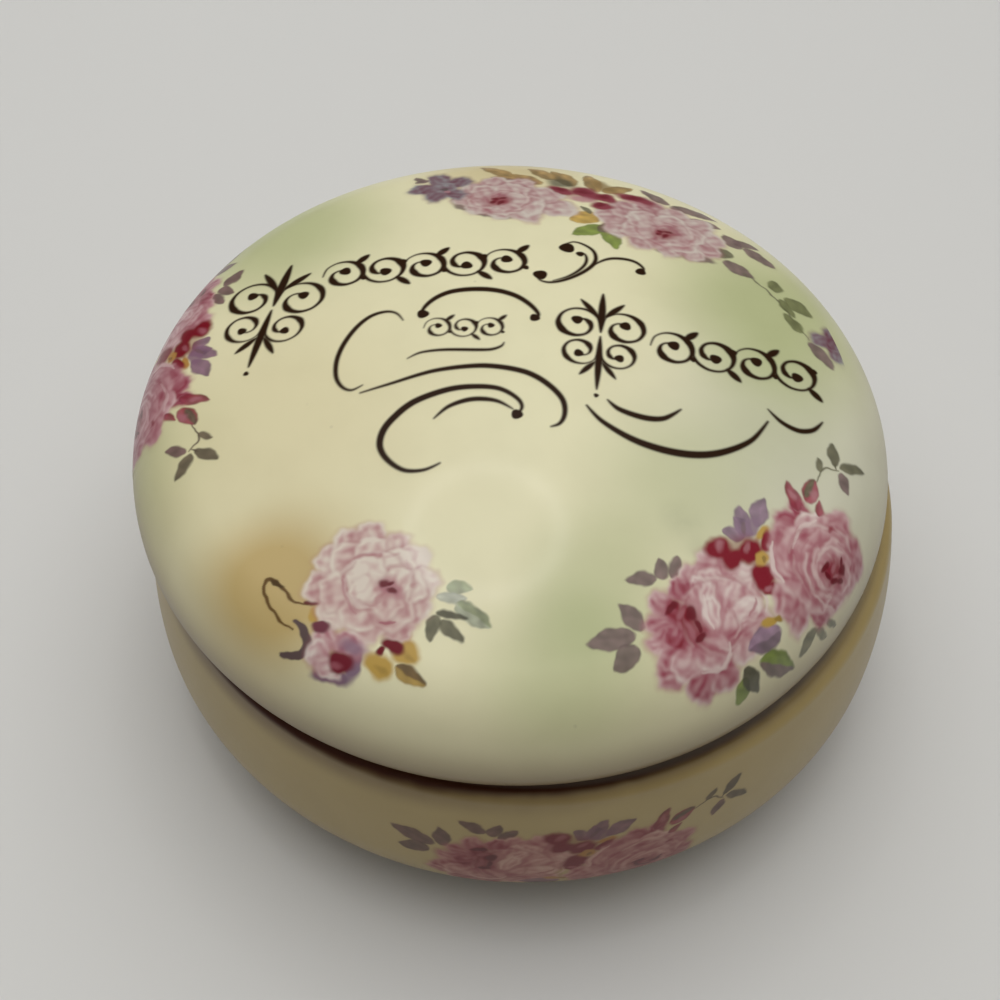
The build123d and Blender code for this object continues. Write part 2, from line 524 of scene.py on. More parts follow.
# How strongly each mark of the brush shows on a petal and on a leaf
PETAL_BLOTCH, PETAL_FOLD, PETAL_RIM, PETAL_GRAIN, PETAL_EDGE = 0.16, 0.1, 0.2, 0.08, 0.38
LEAF_BLOTCH, LEAF_GRAIN, LEAF_COVER, LEAF_VEIN, LEAF_EDGE = 0.22, 0.1, 0.93, 0.25, 0.35


class Print:
    """A printed spray of flowers: colour and cover at points given in millimetres from its origin."""

    def __init__(self, x, y, steady=False):
        slow, quick = (0, 0) if steady else (0.2, 0.05)
        self.x = x + slow * np.sin(1.1 * y + 0.7 * x) + quick * np.sin(3.1 * y - 2.1 * x)
        self.y = y + slow * np.sin(0.9 * x - 1.3 * y + 1) + quick * np.sin(3.3 * x + 1.3 * y)
        self.paint = np.zeros((len(x), 3))
        self.cover = np.zeros(len(x))
        # slow waves that cross make the blotches of petals and leaves
        u = x + 1.4 * np.sin(0.53 * y + 0.4) + 0.5 * np.sin(1.3 * y + 0.9 * x)
        v = y + 1.2 * np.sin(0.61 * x + 1.9) + 0.5 * np.sin(1.1 * x - 1.4 * y)
        self.blotch = 0.45 * np.sin(0.9 * u + 0.5 * v) + 0.35 * np.sin(1.37 * v - 0.71 * u + 2)
        self.blotch += 0.2 * np.sin(1.9 * u + 1.1 * v + 4)
        inks = bpy.context.scene.collar_box_inks
        for name in INK_NAMES:
            setattr(self, name, np.array(getattr(inks, name)))
        self.roses = np.array([inks.rose_white, inks.rose_pale, inks.rose_pink, inks.rose_deep, inks.crimson])

    def rose(self, shade):
        """Rose pinks from near white at 0 to crimson at 1."""
        return np.stack([np.interp(shade, ROSE_STOPS, self.roses[:, part]) for part in range(3)], axis=-1)

    def near(self, x, y, reach):
        """The points close enough to a place for a touch of the brush to matter."""
        return np.flatnonzero((np.abs(self.x - x) < reach) & (np.abs(self.y - y) < reach))

    def lay(self, spot, colour, cover):
        """Lay a colour over what is printed already at some of the points."""
        self.paint[spot] += (colour - self.paint[spot]) * cover[:, None]
        self.cover[spot] += (1 - self.cover[spot]) * cover

    def turned(self, spot, x, y, turn):
        """Places of some points along and across a direction, from one point."""
        c, s = cos(radians(turn)), sin(radians(turn))
        across, along = self.y[spot] - y, self.x[spot] - x
        return along * c + across * s, across * c - along * s

    def petal(self, x, y, long, wide, turn, light, deep, tint=1.0):
        """A cupped petal that points away from its flower, deep at the root and light at the rim."""
        spot = self.near(x, y, 1.4 * max(long, wide))
        along, across = self.turned(spot, x, y, turn)
        along, across = along / long, across / wide
        angle = np.arctan2(across, along)
        reach = np.hypot(along, across) * (1 + 0.05 * np.sin(4 * angle + x) + 0.03 * np.sin(9 * angle + y))
        out = (along + 1) / 2
        blotch = self.blotch[spot]
        rim = 0.5 + 0.5 * np.sin(angle + 1.3 * x + y)
        shade = light + (deep - light) * np.clip(1 - out, 0, 1) ** 0.9 + PETAL_BLOTCH * blotch
        shade += PETAL_FOLD * np.exp(-(((reach - 0.66) / 0.2) ** 2)) * ease(0.3, 0.8, out)
        shade -= PETAL_RIM * rim * ease(0.55, 0.95, reach) * ease(0.15, 0.5, out)
        grain = np.sin(8 * across + 3 * np.sin(2 * along + y) + x)
        shade += PETAL_GRAIN * grain * (1 - ease(0.5, 1, reach))
        soft = 0.55 / min(long, wide)
        edge = PETAL_EDGE * (1 - 0.7 * rim) * (1 - ease(1, 1 + 2.6 * soft, reach))
        self.lay(spot, self.rose(0.7) * tint, edge)
        self.lay(spot, self.rose(np.clip(shade, 0, 1)) * tint, 1 - ease(1 - soft, 1 + soft, reach))

    def dab(self, x, y, long, wide, turn, colour, strength=1.0, soft=0.3):
        """An oval touch of the brush."""
        spot = self.near(x, y, 1.5 * max(long, wide))
        along, across = self.turned(spot, x, y, turn)
        wobble = 1 + 0.07 * np.sin(3 * np.arctan2(across, along) + x + y)
        reach = np.hypot(along / long, across / wide) * wobble
        self.lay(spot, colour, strength * (1 - ease(1 - soft, 1 + soft, reach)))

    def dabs(self, touches, colour, strength=1.0, soft=0.3):
        """Several touches of one colour, each by its place, its size and its turn."""
        for touch in touches:
            self.dab(*touch, colour, strength, soft)

    def leaves(self, shapes, colour, far=None):
        """Several leaves of one colour, each by its tip, its root and its width."""
        for shape in shapes:
            self.leaf(*shape, colour, far)

    def leaf(self, tip, root, width, colour, far=None):
        """A pointed leaf with a paler vein, in one colour or with another on its left half."""
        step = np.subtract(tip, root)
        size = np.hypot(*step)
        spot = self.near(*(np.add(tip, root) / 2), size)
        along, across = self.turned(spot, *root, np.degrees(np.arctan2(step[1], step[0])))
        share = np.clip(along / size, 0, 1)
        side = np.abs(across) - width / 2 * np.sin(np.pi * share**0.85) ** 0.75
        cover = (1 - ease(-0.42, 0.36, side)) * ease(-0.02, 0.08, along / size)
        cover *= 1 - ease(0.92, 1.04, along / size)
        body = colour if far is None else colour + (far - colour) * ease(-0.3, 0.3, across)[:, None]
        grain = LEAF_GRAIN * np.sin(1.6 * along + 1.5 * across)
        body = body * (1 + grain + LEAF_BLOTCH * self.blotch[spot])[:, None]
        self.lay(spot, body, LEAF_COVER * cover)
        self.lay(spot, body * 1.3, LEAF_VEIN * cover * np.exp(-((across / 0.2) ** 2)))
        self.lay(spot, body * 0.6, LEAF_EDGE * cover * ease(-0.6, -0.1, side))

    def ball(self, x, y, size):
        """A round drop of the scrolls' ink."""
        self.dab(x, y, size, size, 0, self.scroll, 1, 0.22 / size)

    def pen(self, points, wide, nib=0.0):
        """A pen line in the scrolls' ink; a nib above 0 makes it thin where it runs along the nib."""
        self.stroke(points, 1.15 * wide, self.scroll, 1, 0.28, nib, 0.34)

    def drop(self, root, tip, wide):
        """A pointed leaf of the scrollwork, widest near its middle."""
        middle = np.add(root, tip) / 2
        self.pen([root, middle, tip], wide)

    def stroke(self, points, wide, colour, strength=1.0, thin=0.45, nib=0.0, soft=0.2):
        """A brush line through points, full in the middle and thin at its ends."""
        points = smooth_line(points)
        middle, reach = points.mean(axis=0), np.ptp(points, axis=0).max() + 2 * wide
        spot = self.near(*middle, reach)
        near = np.full(len(spot), np.inf)
        for number, (start, end) in enumerate(zip(points, points[1:])):
            step = end - start
            off_x, off_y = self.x[spot] - start[0], self.y[spot] - start[1]
            share = np.clip((off_x * step[0] + off_y * step[1]) / step.dot(step), 0, 1)
            gap = np.hypot(off_x - share * step[0], off_y - share * step[1])
            place = (number + share) / (len(points) - 1)
            lean = 1 - nib * abs(cos(np.arctan2(step[1], step[0]) - NIB_ANGLE))
            swell = thin + (1 - thin) * np.sin(np.pi * place) ** 0.8
            near = np.minimum(near, gap - wide / 2 * lean * swell)
        self.lay(spot, colour, strength * (1 - ease(-soft, soft, near)))


def smooth_line(points):
    """The points with new ones between them, on a curve that passes through all of them."""
    points = np.array(points, float)
    for _ in range(SMOOTH_PASSES):
        ends = np.vstack([2 * points[0] - points[1], points, 2 * points[-1] - points[-2]])
        middle = (9 * (ends[1:-2] + ends[2:-1]) - (ends[:-3] + ends[3:])) / 16
        longer = np.empty((2 * len(points) - 1, 2))
        longer[::2], longer[1::2] = points, middle
        points = longer
    return points


# Tints that dull the rose pinks of some flowers; the greyest one, on the long spray's roses, is partly
# painted haze of a grazing reflection
CREAMY = np.array([0.97, 1, 0.93])
HAZE_MUTED = np.array([0.86, 0.9, 0.87])
LILAC = np.array([0.46, 0.64, 0.68])


def bouquet(ink):
    """Two large roses with crimson blossoms, a mauve flower, buds and sprigs of leaves."""
    ink.leaves((((-36.5, 14.3), (-27, 9.6), 4.8), ((-25.4, 17), (-25, 9), 4)), ink.slate)
    ink.leaf((-35.4, 6.2), (-28, 7.8), 4.8, ink.slate * 0.8 + ink.olive * 0.1)
    ink.leaves((
        ((-21, 20), (-15, 16), 3.4), ((-11.8, 19.4), (-14.6, 15), 3.2), ((-8, 17.6), (-12.6, 14), 3),
    ), ink.slate)
    ink.leaf((-16.8, -15.8), (-12, -12), 3.6, ink.green)
    ink.leaf((-11, -17), (-11.6, -9.6), 4.2, ink.olive * 0.45)
    ink.leaf((0.8, -18.4), (-8, -10.6), 6, ink.slate * 0.8, ink.green)
    ink.leaves((
        ((2.6, -16.8), (9.8, -13.2), 2.8), ((13.4, -18), (9.2, -13.6), 2), ((17.4, -17.2), (13, -13.4), 2),
    ), ink.olive)
    ink.stroke([(31, 11.6), (34.6, 12.8), (37, 12.4), (39, 10.4)], 0.5, ink.olive)
    ink.stroke([(38.6, 11.2), (39.4, 12.6)], 0.5, ink.olive)
    ink.leaf((36.8, 16), (34.6, 12.6), 1.9, ink.olive)
    ink.leaf((43.2, 16.4), (38.8, 11.8), 2.9, ink.olive * 0.8)
    ink.leaf((45.6, 6.6), (39.6, 11), 2.8, ink.olive * 0.9)
    ink.leaf((36, 5), (38.8, 10), 2.7, ink.slate)
    mauve_flower(ink)
    ink.dab(11.2, 10, 2.4, 1.1, 5, ink.yellow)
    rose_left(ink)
    crimson_blossoms(ink)
    ink.dab(3.4, 10.6, 4.6, 2.6, -8, ink.crimson, 0.5, 0.6)
    rose_right(ink)
    ink.leaf((-9.4, -7), (0.4, -8.6), 5.6, ink.mauve * 1.2, ink.mauve * 0.7)
    ink.dab(-1.2, -5.4, 2.6, 0.9, -12, ink.yellow)
    ink.dab(1, -6.2, 1.1, 0.8, -40, ink.yellow * 0.7)


def mauve_flower(ink):
    """Soft petals behind the crimson blossoms."""
    ink.leaves((
        ((4, 16), (7, 11.4), 3.6), ((11.6, 18), (7.4, 12), 3.8), ((17.6, 16), (11, 12), 4.4),
        ((8.2, 16.6), (8.6, 11), 3.6),
    ), ink.mauve)
    ink.dab(9.4, 12.4, 3.4, 1.6, 8, ink.mauve, 0.9)
    ink.dab(8.4, 13.2, 1.6, 0.6, 50, ink.slate, 0.6)


def crimson_blossoms(ink):
    """Deep red blossoms between the roses, and a pale touch on each."""
    ink.dabs((
        (0.4, 13.2, 3, 2.6, -30), (1.2, 9.6, 2.8, 2, 10), (5.8, 8.4, 3.4, 2.6, 0), (10.4, 8.2, 2.6, 1, 35),
        (4.2, 2.8, 3.4, 2.8, 25), (3.6, -0.4, 2, 1.2, -10),
    ), ink.crimson)
    ink.dab(1, 13.6, 1.4, 1, 60, ink.rose(0.62), 0.9, 0.6)
    ink.dab(5.8, 9.6, 1.2, 0.5, 30, ink.rose(0.5), 0.9, 0.6)
    ink.dab(3.2, 0, 1, 0.6, -30, ink.rose(0.6), 0.8, 0.6)
    ink.dab(6.6, 6, 1.9, 1.3, 15, ink.yellow)
    ink.dab(6.9, 5.6, 0.8, 0.4, 40, ink.yellow * 0.6)


def rose_left(ink):
    """The open rose at the left: ruffled petals round a long crimson heart."""
    petals = (
        (-26, -1, 3.4, 3.2, 190, 0.45, 0.6), (-22, -7, 3.8, 3.4, 235, 0.42, 0.68),
        (-16.6, -8.4, 3.4, 3.6, 265, 0.4, 0.66), (-9, -6.2, 3.2, 4, 285, 0.12, 0.4),
        (-3.4, -3.8, 3.6, 3.2, 320, 0.1, 0.42), (0.2, 5, 3.6, 4.6, 20, 0.02, 0.3),
        (-4, 11, 4.2, 3.6, 60, 0.3, 0.42), (-8.8, 11.6, 3, 3.2, 85, 0.3, 0.55),
        (-13, 11.6, 2.6, 2.8, 100, 0.48, 0.76), (-18.4, 11.4, 2.8, 2.8, 120, 0.28, 0.6),
        (-21.6, 8.2, 3.2, 2.2, 155, 0.3, 0.7), (-24, 5.2, 3, 2.4, 175, 0.3, 0.66),
        (-23.6, 1.8, 3.4, 2.4, 190, 0.4, 0.74), (-6.2, 8.4, 3.4, 3, 45, 0.2, 0.5),
        (-2, 2.4, 4.4, 2.6, 10, 0.1, 0.46), (-9.6, 9, 3, 2.2, 60, 0.12, 0.55),
        (-5.4, 4.6, 4.6, 2.4, 25, 0.06, 0.5), (-5.6, -0.8, 5.4, 2.8, 10, -0.06, 0.34),
        (-8, -3, 4.8, 1.7, -10, 0.3, 0.6), (-22, -1.4, 4, 3.4, 200, 0.3, 0.44),
        (-16, -2.4, 4.6, 4.2, 270, 0.2, 0.62), (-9.4, 6.2, 3.8, 1.9, 50, -0.02, 0.4),
        (-11, 3.8, 4, 2, 55, -0.02, 0.34), (-20.4, 4, 3, 2.8, 175, 0.62, 0.86),
        (-17, 7.8, 3.4, 2.4, 110, 0.66, 0.96),
    )
    ink.dab(-12, 2, 12, 9, 10, ink.rose(0.4))
    petals_of(ink, petals, 1, -0.02)
    streaks(ink, -11, 1, 12, 26)
    ink.dab(-16.2, 4.6, 4.6, 2.6, 82, ink.crimson, 0.75, 0.5)
    ink.dabs((
        (-14.6, 6, 1.5, 1.1, 60), (-16.4, 0.9, 1.4, 0.8, -10), (-17.4, 9.4, 1.9, 0.7, 10),
        (-15.2, 3.2, 1.6, 0.6, 70),
    ), ink.crimson * 0.62, 0.9)
    ink.dabs((
        (-17.2, 3.4, 2.1, 0.6, 75), (-16.4, 7.4, 1.2, 0.6, 20), (-18.4, 5.6, 1.2, 0.5, 60),
    ), ink.rose(0.66), 0.75, 0.6)
    ink.stroke([(-13, 1), (-11.6, 4.6), (-9.6, 7.6)], 0.7, ink.rose(0.02), 0.8)
    ink.stroke([(-20.6, -4.6), (-18, -6.4), (-14.4, -6), (-11.6, -3.2)], 0.7, ink.rose(0.1), 0.8)
    ink.stroke([(1, 2.2), (1.4, -0.8), (-0.6, -3.4)], 0.8, ink.rose(0.02), 0.7)
    ink.stroke([(-4.4, -1.8), (-2.4, -1), (-0.8, 0.2)], 0.5, ink.rose(0.66), 0.7)


def rose_right(ink):
    """The cabbage rose at the right: rings of petals round a small dark heart."""
    petals = (
        (17.6, 8.8, 3, 3, 110, 0.46, 0.72), (22.4, 9, 2.8, 2.2, 80, 0.5, 0.78),
        (28, 1.4, 4, 3.4, 0, 0.28, 0.5), (27.6, -6.6, 3.8, 5.2, 0, 0.42, 0.55),
        (12.4, -11, 3.4, 3.4, 260, 0.5, 0.72), (18.4, -9.8, 3.6, 6, 275, 0.36, 0.56),
        (24, -9, 3, 4.4, 300, 0.4, 0.58), (6, -7.4, 5.2, 3.6, 250, 0.2, 0.5),
        (5.6, -4, 4.4, 3.6, 200, 0.28, 0.46), (22, 4.4, 3.6, 4.6, 75, 0.08, 0.44),
        (14.6, 5.4, 4.4, 4.8, 120, 0.3, 0.52), (10.4, 2, 6.6, 3.6, 240, 0.24, 0.46),
        (17, 0.6, 6.8, 7, 150, 0.3, 0.5), (24.4, -1.4, 5.2, 4.4, 30, 0.26, 0.52),
        (14, -5.6, 6.2, 5.6, 200, 0.3, 0.5), (20, -2.4, 6, 6, 90, 0.26, 0.55),
        (16.4, -4.4, 5.4, 5.2, 190, 0.24, 0.5), (22.2, -4.4, 4.6, 4.6, 40, 0.14, 0.5),
        (19, -5.6, 4.2, 4.2, 170, 0.26, 0.56), (21.6, -7.6, 3.8, 3.6, 300, 0.34, 0.6),
    )
    ink.dab(18, -3, 10, 9, 0, ink.rose(0.4))
    petals_of(ink, petals, 1, -0.1)
    ink.stroke([(7, -0.6), (7.4, 2.4), (9, 5.2), (11.4, 7.4)], 1, ink.rose(0.04), 0.8)
    ink.stroke([(14.6, 3.6), (17.6, 5.2), (21, 5.8), (24, 5)], 0.9, ink.rose(0.04), 0.8)
    for radius, start, end, shade in (
        (9, 100, 215, 0.62), (8, 120, 240, 0.14), (6.8, 60, 190, 0.66), (5.8, 95, 230, 0.16),
        (5, 20, 130, 0.12), (4.6, 130, 250, 0.6), (6.4, 330, 400, 0.6),
    ):
        turns = np.radians(np.linspace(start, end, 7))
        ring = [(20.4 + radius * cos(turn), -5.8 + radius * sin(turn)) for turn in turns]
        ink.stroke(ring, 0.8, ink.rose(shade), 0.7, soft=0.4)
    streaks(ink, 18, -3, 11, 26)
    ink.dab(20.2, -6.2, 3.4, 2.4, -20, ink.crimson, 0.75, 0.5)
    ink.dabs((
        (18.6, -4.1, 1.5, 0.7, 5), (22.8, -7, 1.2, 0.9, 20), (19, -7.6, 1.4, 0.7, -30),
        (20.8, -8.6, 1, 0.5, 0), (23.4, -5.4, 1, 0.5, 50), (18, -5.8, 0.6, 0.9, 0),
    ), ink.crimson * 0.62, 0.9)
    ink.dabs(((20.6, -5.2, 1.1, 0.5, 30), (20.2, -7, 0.9, 0.4, -20)), ink.rose(0.6), 0.8, 0.6)
    ink.dab(25.8, 1.6, 0.9, 0.6, 20, ink.crimson, 0.6, 0.6)
    ink.leaves((
        ((25.4, 16), (22.4, 8.6), 3.2), ((31.6, 12.4), (25.4, 9.2), 4), ((28.6, 8), (25.2, 5), 2.2),
    ), ink.rose(0.8), ink.rose(0.9))
    ink.leaf((31.6, 12.6), (25.8, 10.2), 1.4, ink.olive, ink.olive)
    ink.dabs(((28.4, 9.8, 1.4, 0.8, 30), (23.8, 12.6, 1.2, 0.6, 70)), ink.rose(0.55), 0.8, 0.6)


# Turn and shares that spread the streaks of a rose evenly, by the golden ratio
GOLDEN_TURN, GOLDEN_REACH, GOLDEN_SWEEP = 2.4, 0.618, 0.382


def streaks(ink, x, y, reach, count):
    """Short deep and pale touches that follow the turn of a rose's petals."""
    for number in range(count):
        turn, radius = GOLDEN_TURN * number, reach * (0.3 + 0.62 * (GOLDEN_REACH * number % 1))
        sweep = 0.3 + 0.3 * (GOLDEN_SWEEP * number % 1)
        turns = [turn + sweep * part for part in (-1, -0.3, 0.3, 1)]
        ring = [(x + radius * cos(turn), y + radius * sin(turn)) for turn in turns]
        ink.stroke(ring, 0.9, ink.rose(0 if number % 3 == 0 else 0.76), 0.3, soft=0.45)


def petals_of(ink, petals, tint=1.0, paler=0.0):
    """A flower's petals, the outermost first."""
    for *shape, light, deep in petals:
        ink.petal(*shape, light - paler, deep - paler, tint)


def small_spray(ink):
    """A pale rose over a small mauve one, with yellow leaves and a tendril."""
    ink.stroke([
        (-10, -9.4), (-14, -9.6), (-18, -7.8), (-20.6, -8), (-20.4, -10.4), (-18.4, -12.2), (-14.4, -14.4),
        (-10.4, -15.2),
    ], 0.9, ink.tendril)
    ink.dab(-18.6, -7.8, 1.6, 0.5, 0, ink.tendril * 0.5, 0.9)
    ink.stroke([(-10.8, -13.2), (-8, -14.6), (-6.2, -16.6), (-7, -19), (-11, -20.8)], 1.9, ink.slate * 0.62)
    ink.leaf((-7.8, -8.2), (-11, -9.2), 1.3, ink.crimson * 0.4)
    # Painted highlight: the whitened greens of these leaves, most of all the second, stand in for a glare on
    # the print
    ink.leaf((19.4, 8.4), (14, 6.2), 2.8, ink.green * 0.7 + 0.2)
    ink.leaf((19.6, 5.8), (13.4, 3.6), 2.8, ink.green * 0.4 + 0.4)
    ink.leaf((26.8, 2.6), (17.4, 4), 4, ink.green * 0.5 + 0.3, ink.green * 0.6 + 0.14)
    ink.leaf((21.4, 2), (14.6, 0.6), 2, ink.olive * 0.45)
    ink.leaves((((16.6, -6), (15, 0.4), 2.9), ((23.2, -2.6), (16.2, -0.8), 3)), ink.olive * 0.8)
    ink.leaf((11.6, -4.4), (12.6, -8.4), 2, ink.yellow)
    ink.dab(-7.2, -10.6, 1.7, 1.7, 60, ink.yellow)
    for x, y, long, wide, turn in ((9.6, -14.4, 3.2, 2.4, -10), (13.4, -9.6, 3, 2.6, -20)):
        ink.dab(x, y, long, wide, turn, ink.yellow)
        ink.dab(x + 0.8, y - 0.6, 1.4, 0.6, turn, ink.yellow * 0.65, 0.6, 0.7)
    ink.leaf((20, -14), (12.6, -13.2), 3.6, ink.yellow * 0.75, ink.tendril)
    ink.dab(0, 0, 9.6, 8.6, 0, ink.rose(0.2) * CREAMY)
    # The near-white petals at the rose's upper right are partly painted highlight of the same glare
    petals_of(ink, (
        (-9.4, -4.8, 3.8, 3.6, 205, 0.34, 0.5), (-10.4, 1.2, 3.4, 3.4, 175, 0.26, 0.42),
        (-8.8, 6, 3.6, 3.4, 148, 0.26, 0.42), (-5.4, 9.4, 3.4, 3.4, 112, 0.3, 0.44),
        (0.6, 9.4, 3.4, 3, 92, 0.2, 0.5), (5.2, 8.2, 4, 3.6, 62, 0.04, 0.3),
        (9.4, 4.6, 3.6, 3.4, 28, 0.06, 0.3), (10.6, -0.6, 3.2, 3.8, 0, 0.3, 0.46),
        (9.4, -5.4, 3.6, 3.2, 318, 0.34, 0.5), (3.2, -8, 3.6, 4.2, 275, 0.28, 0.4),
        (-4, -8, 4, 4, 240, 0.08, 0.3), (-6.4, 2.6, 4.6, 4.2, 165, 0.22, 0.5),
        (-3.4, 6.2, 3.8, 3.4, 120, 0.1, 0.54), (2.8, 5.6, 4.2, 4, 82, 0.04, 0.36),
        (7, 2.6, 4, 3.8, 30, 0.1, 0.44), (-4.8, -3.4, 5.2, 4.6, 215, 0.3, 0.54),
        (1, -5.2, 5, 4.6, 265, 0.3, 0.54), (6.6, -3, 4.6, 4.2, 320, 0.28, 0.5),
        (-1.8, 1.4, 4.6, 4.2, 175, 0.0, 0.2), (-0.4, -2, 3.6, 3.2, 235, 0.04, 0.22),
        (4.6, -1.6, 4, 3.4, 290, 0.28, 0.44), (4.8, 3.2, 3, 3, 55, 0.1, 0.34),
    ), CREAMY, 0.11)
    streaks(ink, 0, 0, 10, 18)
    ink.dab(4, 1.2, 2.8, 1.9, -8, ink.rose(0.62), 0.9, 0.5)
    ink.dabs((
        (2.4, 1.5, 1, 0.8, 30), (4.4, 0.7, 1, 0.7, 0), (3.4, 2.2, 0.7, 0.4, 50),
    ), ink.crimson * 0.55, 0.9, 0.5)
    ink.stroke([(5.6, -6.2), (7, -5.6), (8.4, -4.8)], 0.8, ink.rose(0.74), 0.7)
    ink.stroke([(-6, -1.6), (-3.6, -4.6), (0, -7)], 0.7, ink.rose(0.6), 0.5)
    small_rose(ink)
    ink.dabs(((10.4, -9.6, 2.4, 1.4, -5), (8.4, -11.6, 1.2, 0.8, 60)), ink.crimson * 0.7)
    ink.dab(-5.2, -12.3, 2, 1.1, 20, ink.crimson * 0.5 + ink.mauve * 0.2)


def small_rose(ink):
    """The small mauve rose under the pale one."""
    ink.dab(1, -20.4, 4.6, 1.5, 14, ink.mauve * 0.8)
    ink.dab(4.6, -16.4, 1.6, 3.4, 8, ink.mauve * 0.9)
    petals_of(ink, (
        (2, -13.2, 2.6, 4, 90, 0.4, 0.6), (-3.6, -14.4, 2.6, 2.6, 140, 0.3, 0.5),
        (-3.4, -17.4, 2.6, 3, 190, 0.08, 0.3), (0, -19, 2.2, 3, 262, 0.1, 0.34),
    ))
    ink.dab(3, -13.4, 2.8, 1.5, 0, ink.mauve, 0.8, 0.6)
    ink.dab(1.8, -17.2, 2.8, 2.1, 5, ink.crimson * 0.7 + ink.mauve * 0.06)
    ink.dab(1.2, -18, 1.6, 0.5, 15, ink.rose(0.7), 0.7, 0.7)


def back_print(ink):
    """A long spray: two pale roses, crimson and ochre between them, mauve flowers at its ends."""
    ink.leaves((
        ((30, -7), (20, -4.6), 4.4), ((39, -8.6), (28, -5.6), 4), ((21, -14), (12, -8), 5.4),
        ((12, -17), (6, -8), 5), ((-1, -16), (5, -9), 4.4), ((27, -13), (18, -9), 4.4),
        ((34, -3), (27, -4.6), 3),
    ), ink.ochre, ink.ochre * 0.75)
    ink.dab(16, -8, 3.6, 2.8, 10, ink.olive * 0.55, 0.8, 0.5)
    ink.dab(6, -12, 4, 2.4, -20, ink.ochre * 0.7, 0.8, 0.5)
    ink.leaves((
        ((-44, -4), (-34, -6.4), 4), ((-28, -9), (-34, -5), 4.4), ((-38, -10), (-31, -7), 3),
        ((-27, -11.4), (-18, -9.4), 3.4), ((-26, -16), (-12, -12.6), 4), ((-3, -17), (-12, -13), 3.4),
        ((-67.4, 23.4), (-59, 18.6), 3.6), ((52.6, 3), (48.6, 5.4), 2.2), ((51, 6.6), (48, 4), 1.6),
        ((-40.6, 5.4), (-31.4, 3.6), 4.6),
    ), ink.slate)
    ink.leaf((-28, 3), (-33, -1.4), 4.4, ink.olive)
    ink.stroke([(-38, 5), (-43, 6.8), (-48, 9.6), (-53, 13.4), (-59, 18)], 0.5, ink.olive)
    ink.leaves((
        ((-44.6, 2.2), (-47.4, 6.6), 3.8), ((-57.4, 9), (-49.2, 6.8), 4.8), ((-53.6, 12.6), (-48, 8.4), 2.8),
        ((-50.8, 13), (-57, 17), 3.2),
    ), ink.olive * 0.7 + ink.green * 0.3)
    ink.leaves((((-8, 16.4), (-1.6, 8), 4.8), ((4.4, 16.4), (-2, 8), 4.8)), ink.green * 1.1)
    ink.leaf((-1.4, 6), (-2, 11.4), 3, ink.olive)
    ink.leaf((7.4, 10), (1, 3.6), 6, ink.yellow)
    ink.leaf((7.4, 1.6), (3.4, 4), 2, ink.olive)
    rose_between(ink)
    petals_of(ink, (
        (-67.6, 13.8, 3, 2.6, 185, 0.4, 0.6), (-66.2, 17.6, 3, 2, 130, 0.4, 0.6),
        (-61.4, 15.6, 2.8, 2.4, 20, 0.4, 0.6), (-63.4, 11.4, 2.6, 2.4, 280, 0.4, 0.6),
        (-64.6, 14.6, 2.4, 2.2, 90, 0.5, 0.7), (47.4, 9.4, 3.6, 3, 30, 0.4, 0.6),
        (42.6, 12, 3.2, 2.8, 95, 0.4, 0.6), (38.4, 9.6, 3.2, 2.6, 160, 0.4, 0.6),
        (40, 2.6, 3.2, 2.8, 235, 0.4, 0.6), (45.6, 3, 3.6, 3, 300, 0.4, 0.6),
        (42.6, 7, 3.4, 3, 180, 0.3, 0.55),
    ), LILAC)
    ink.dab(42, 7.8, 1.2, 0.9, 20, ink.slate * 0.5, 0.8)
    ink.dab(40.8, 9, 1, 0.5, 20, ink.rose(0.5), 0.6)


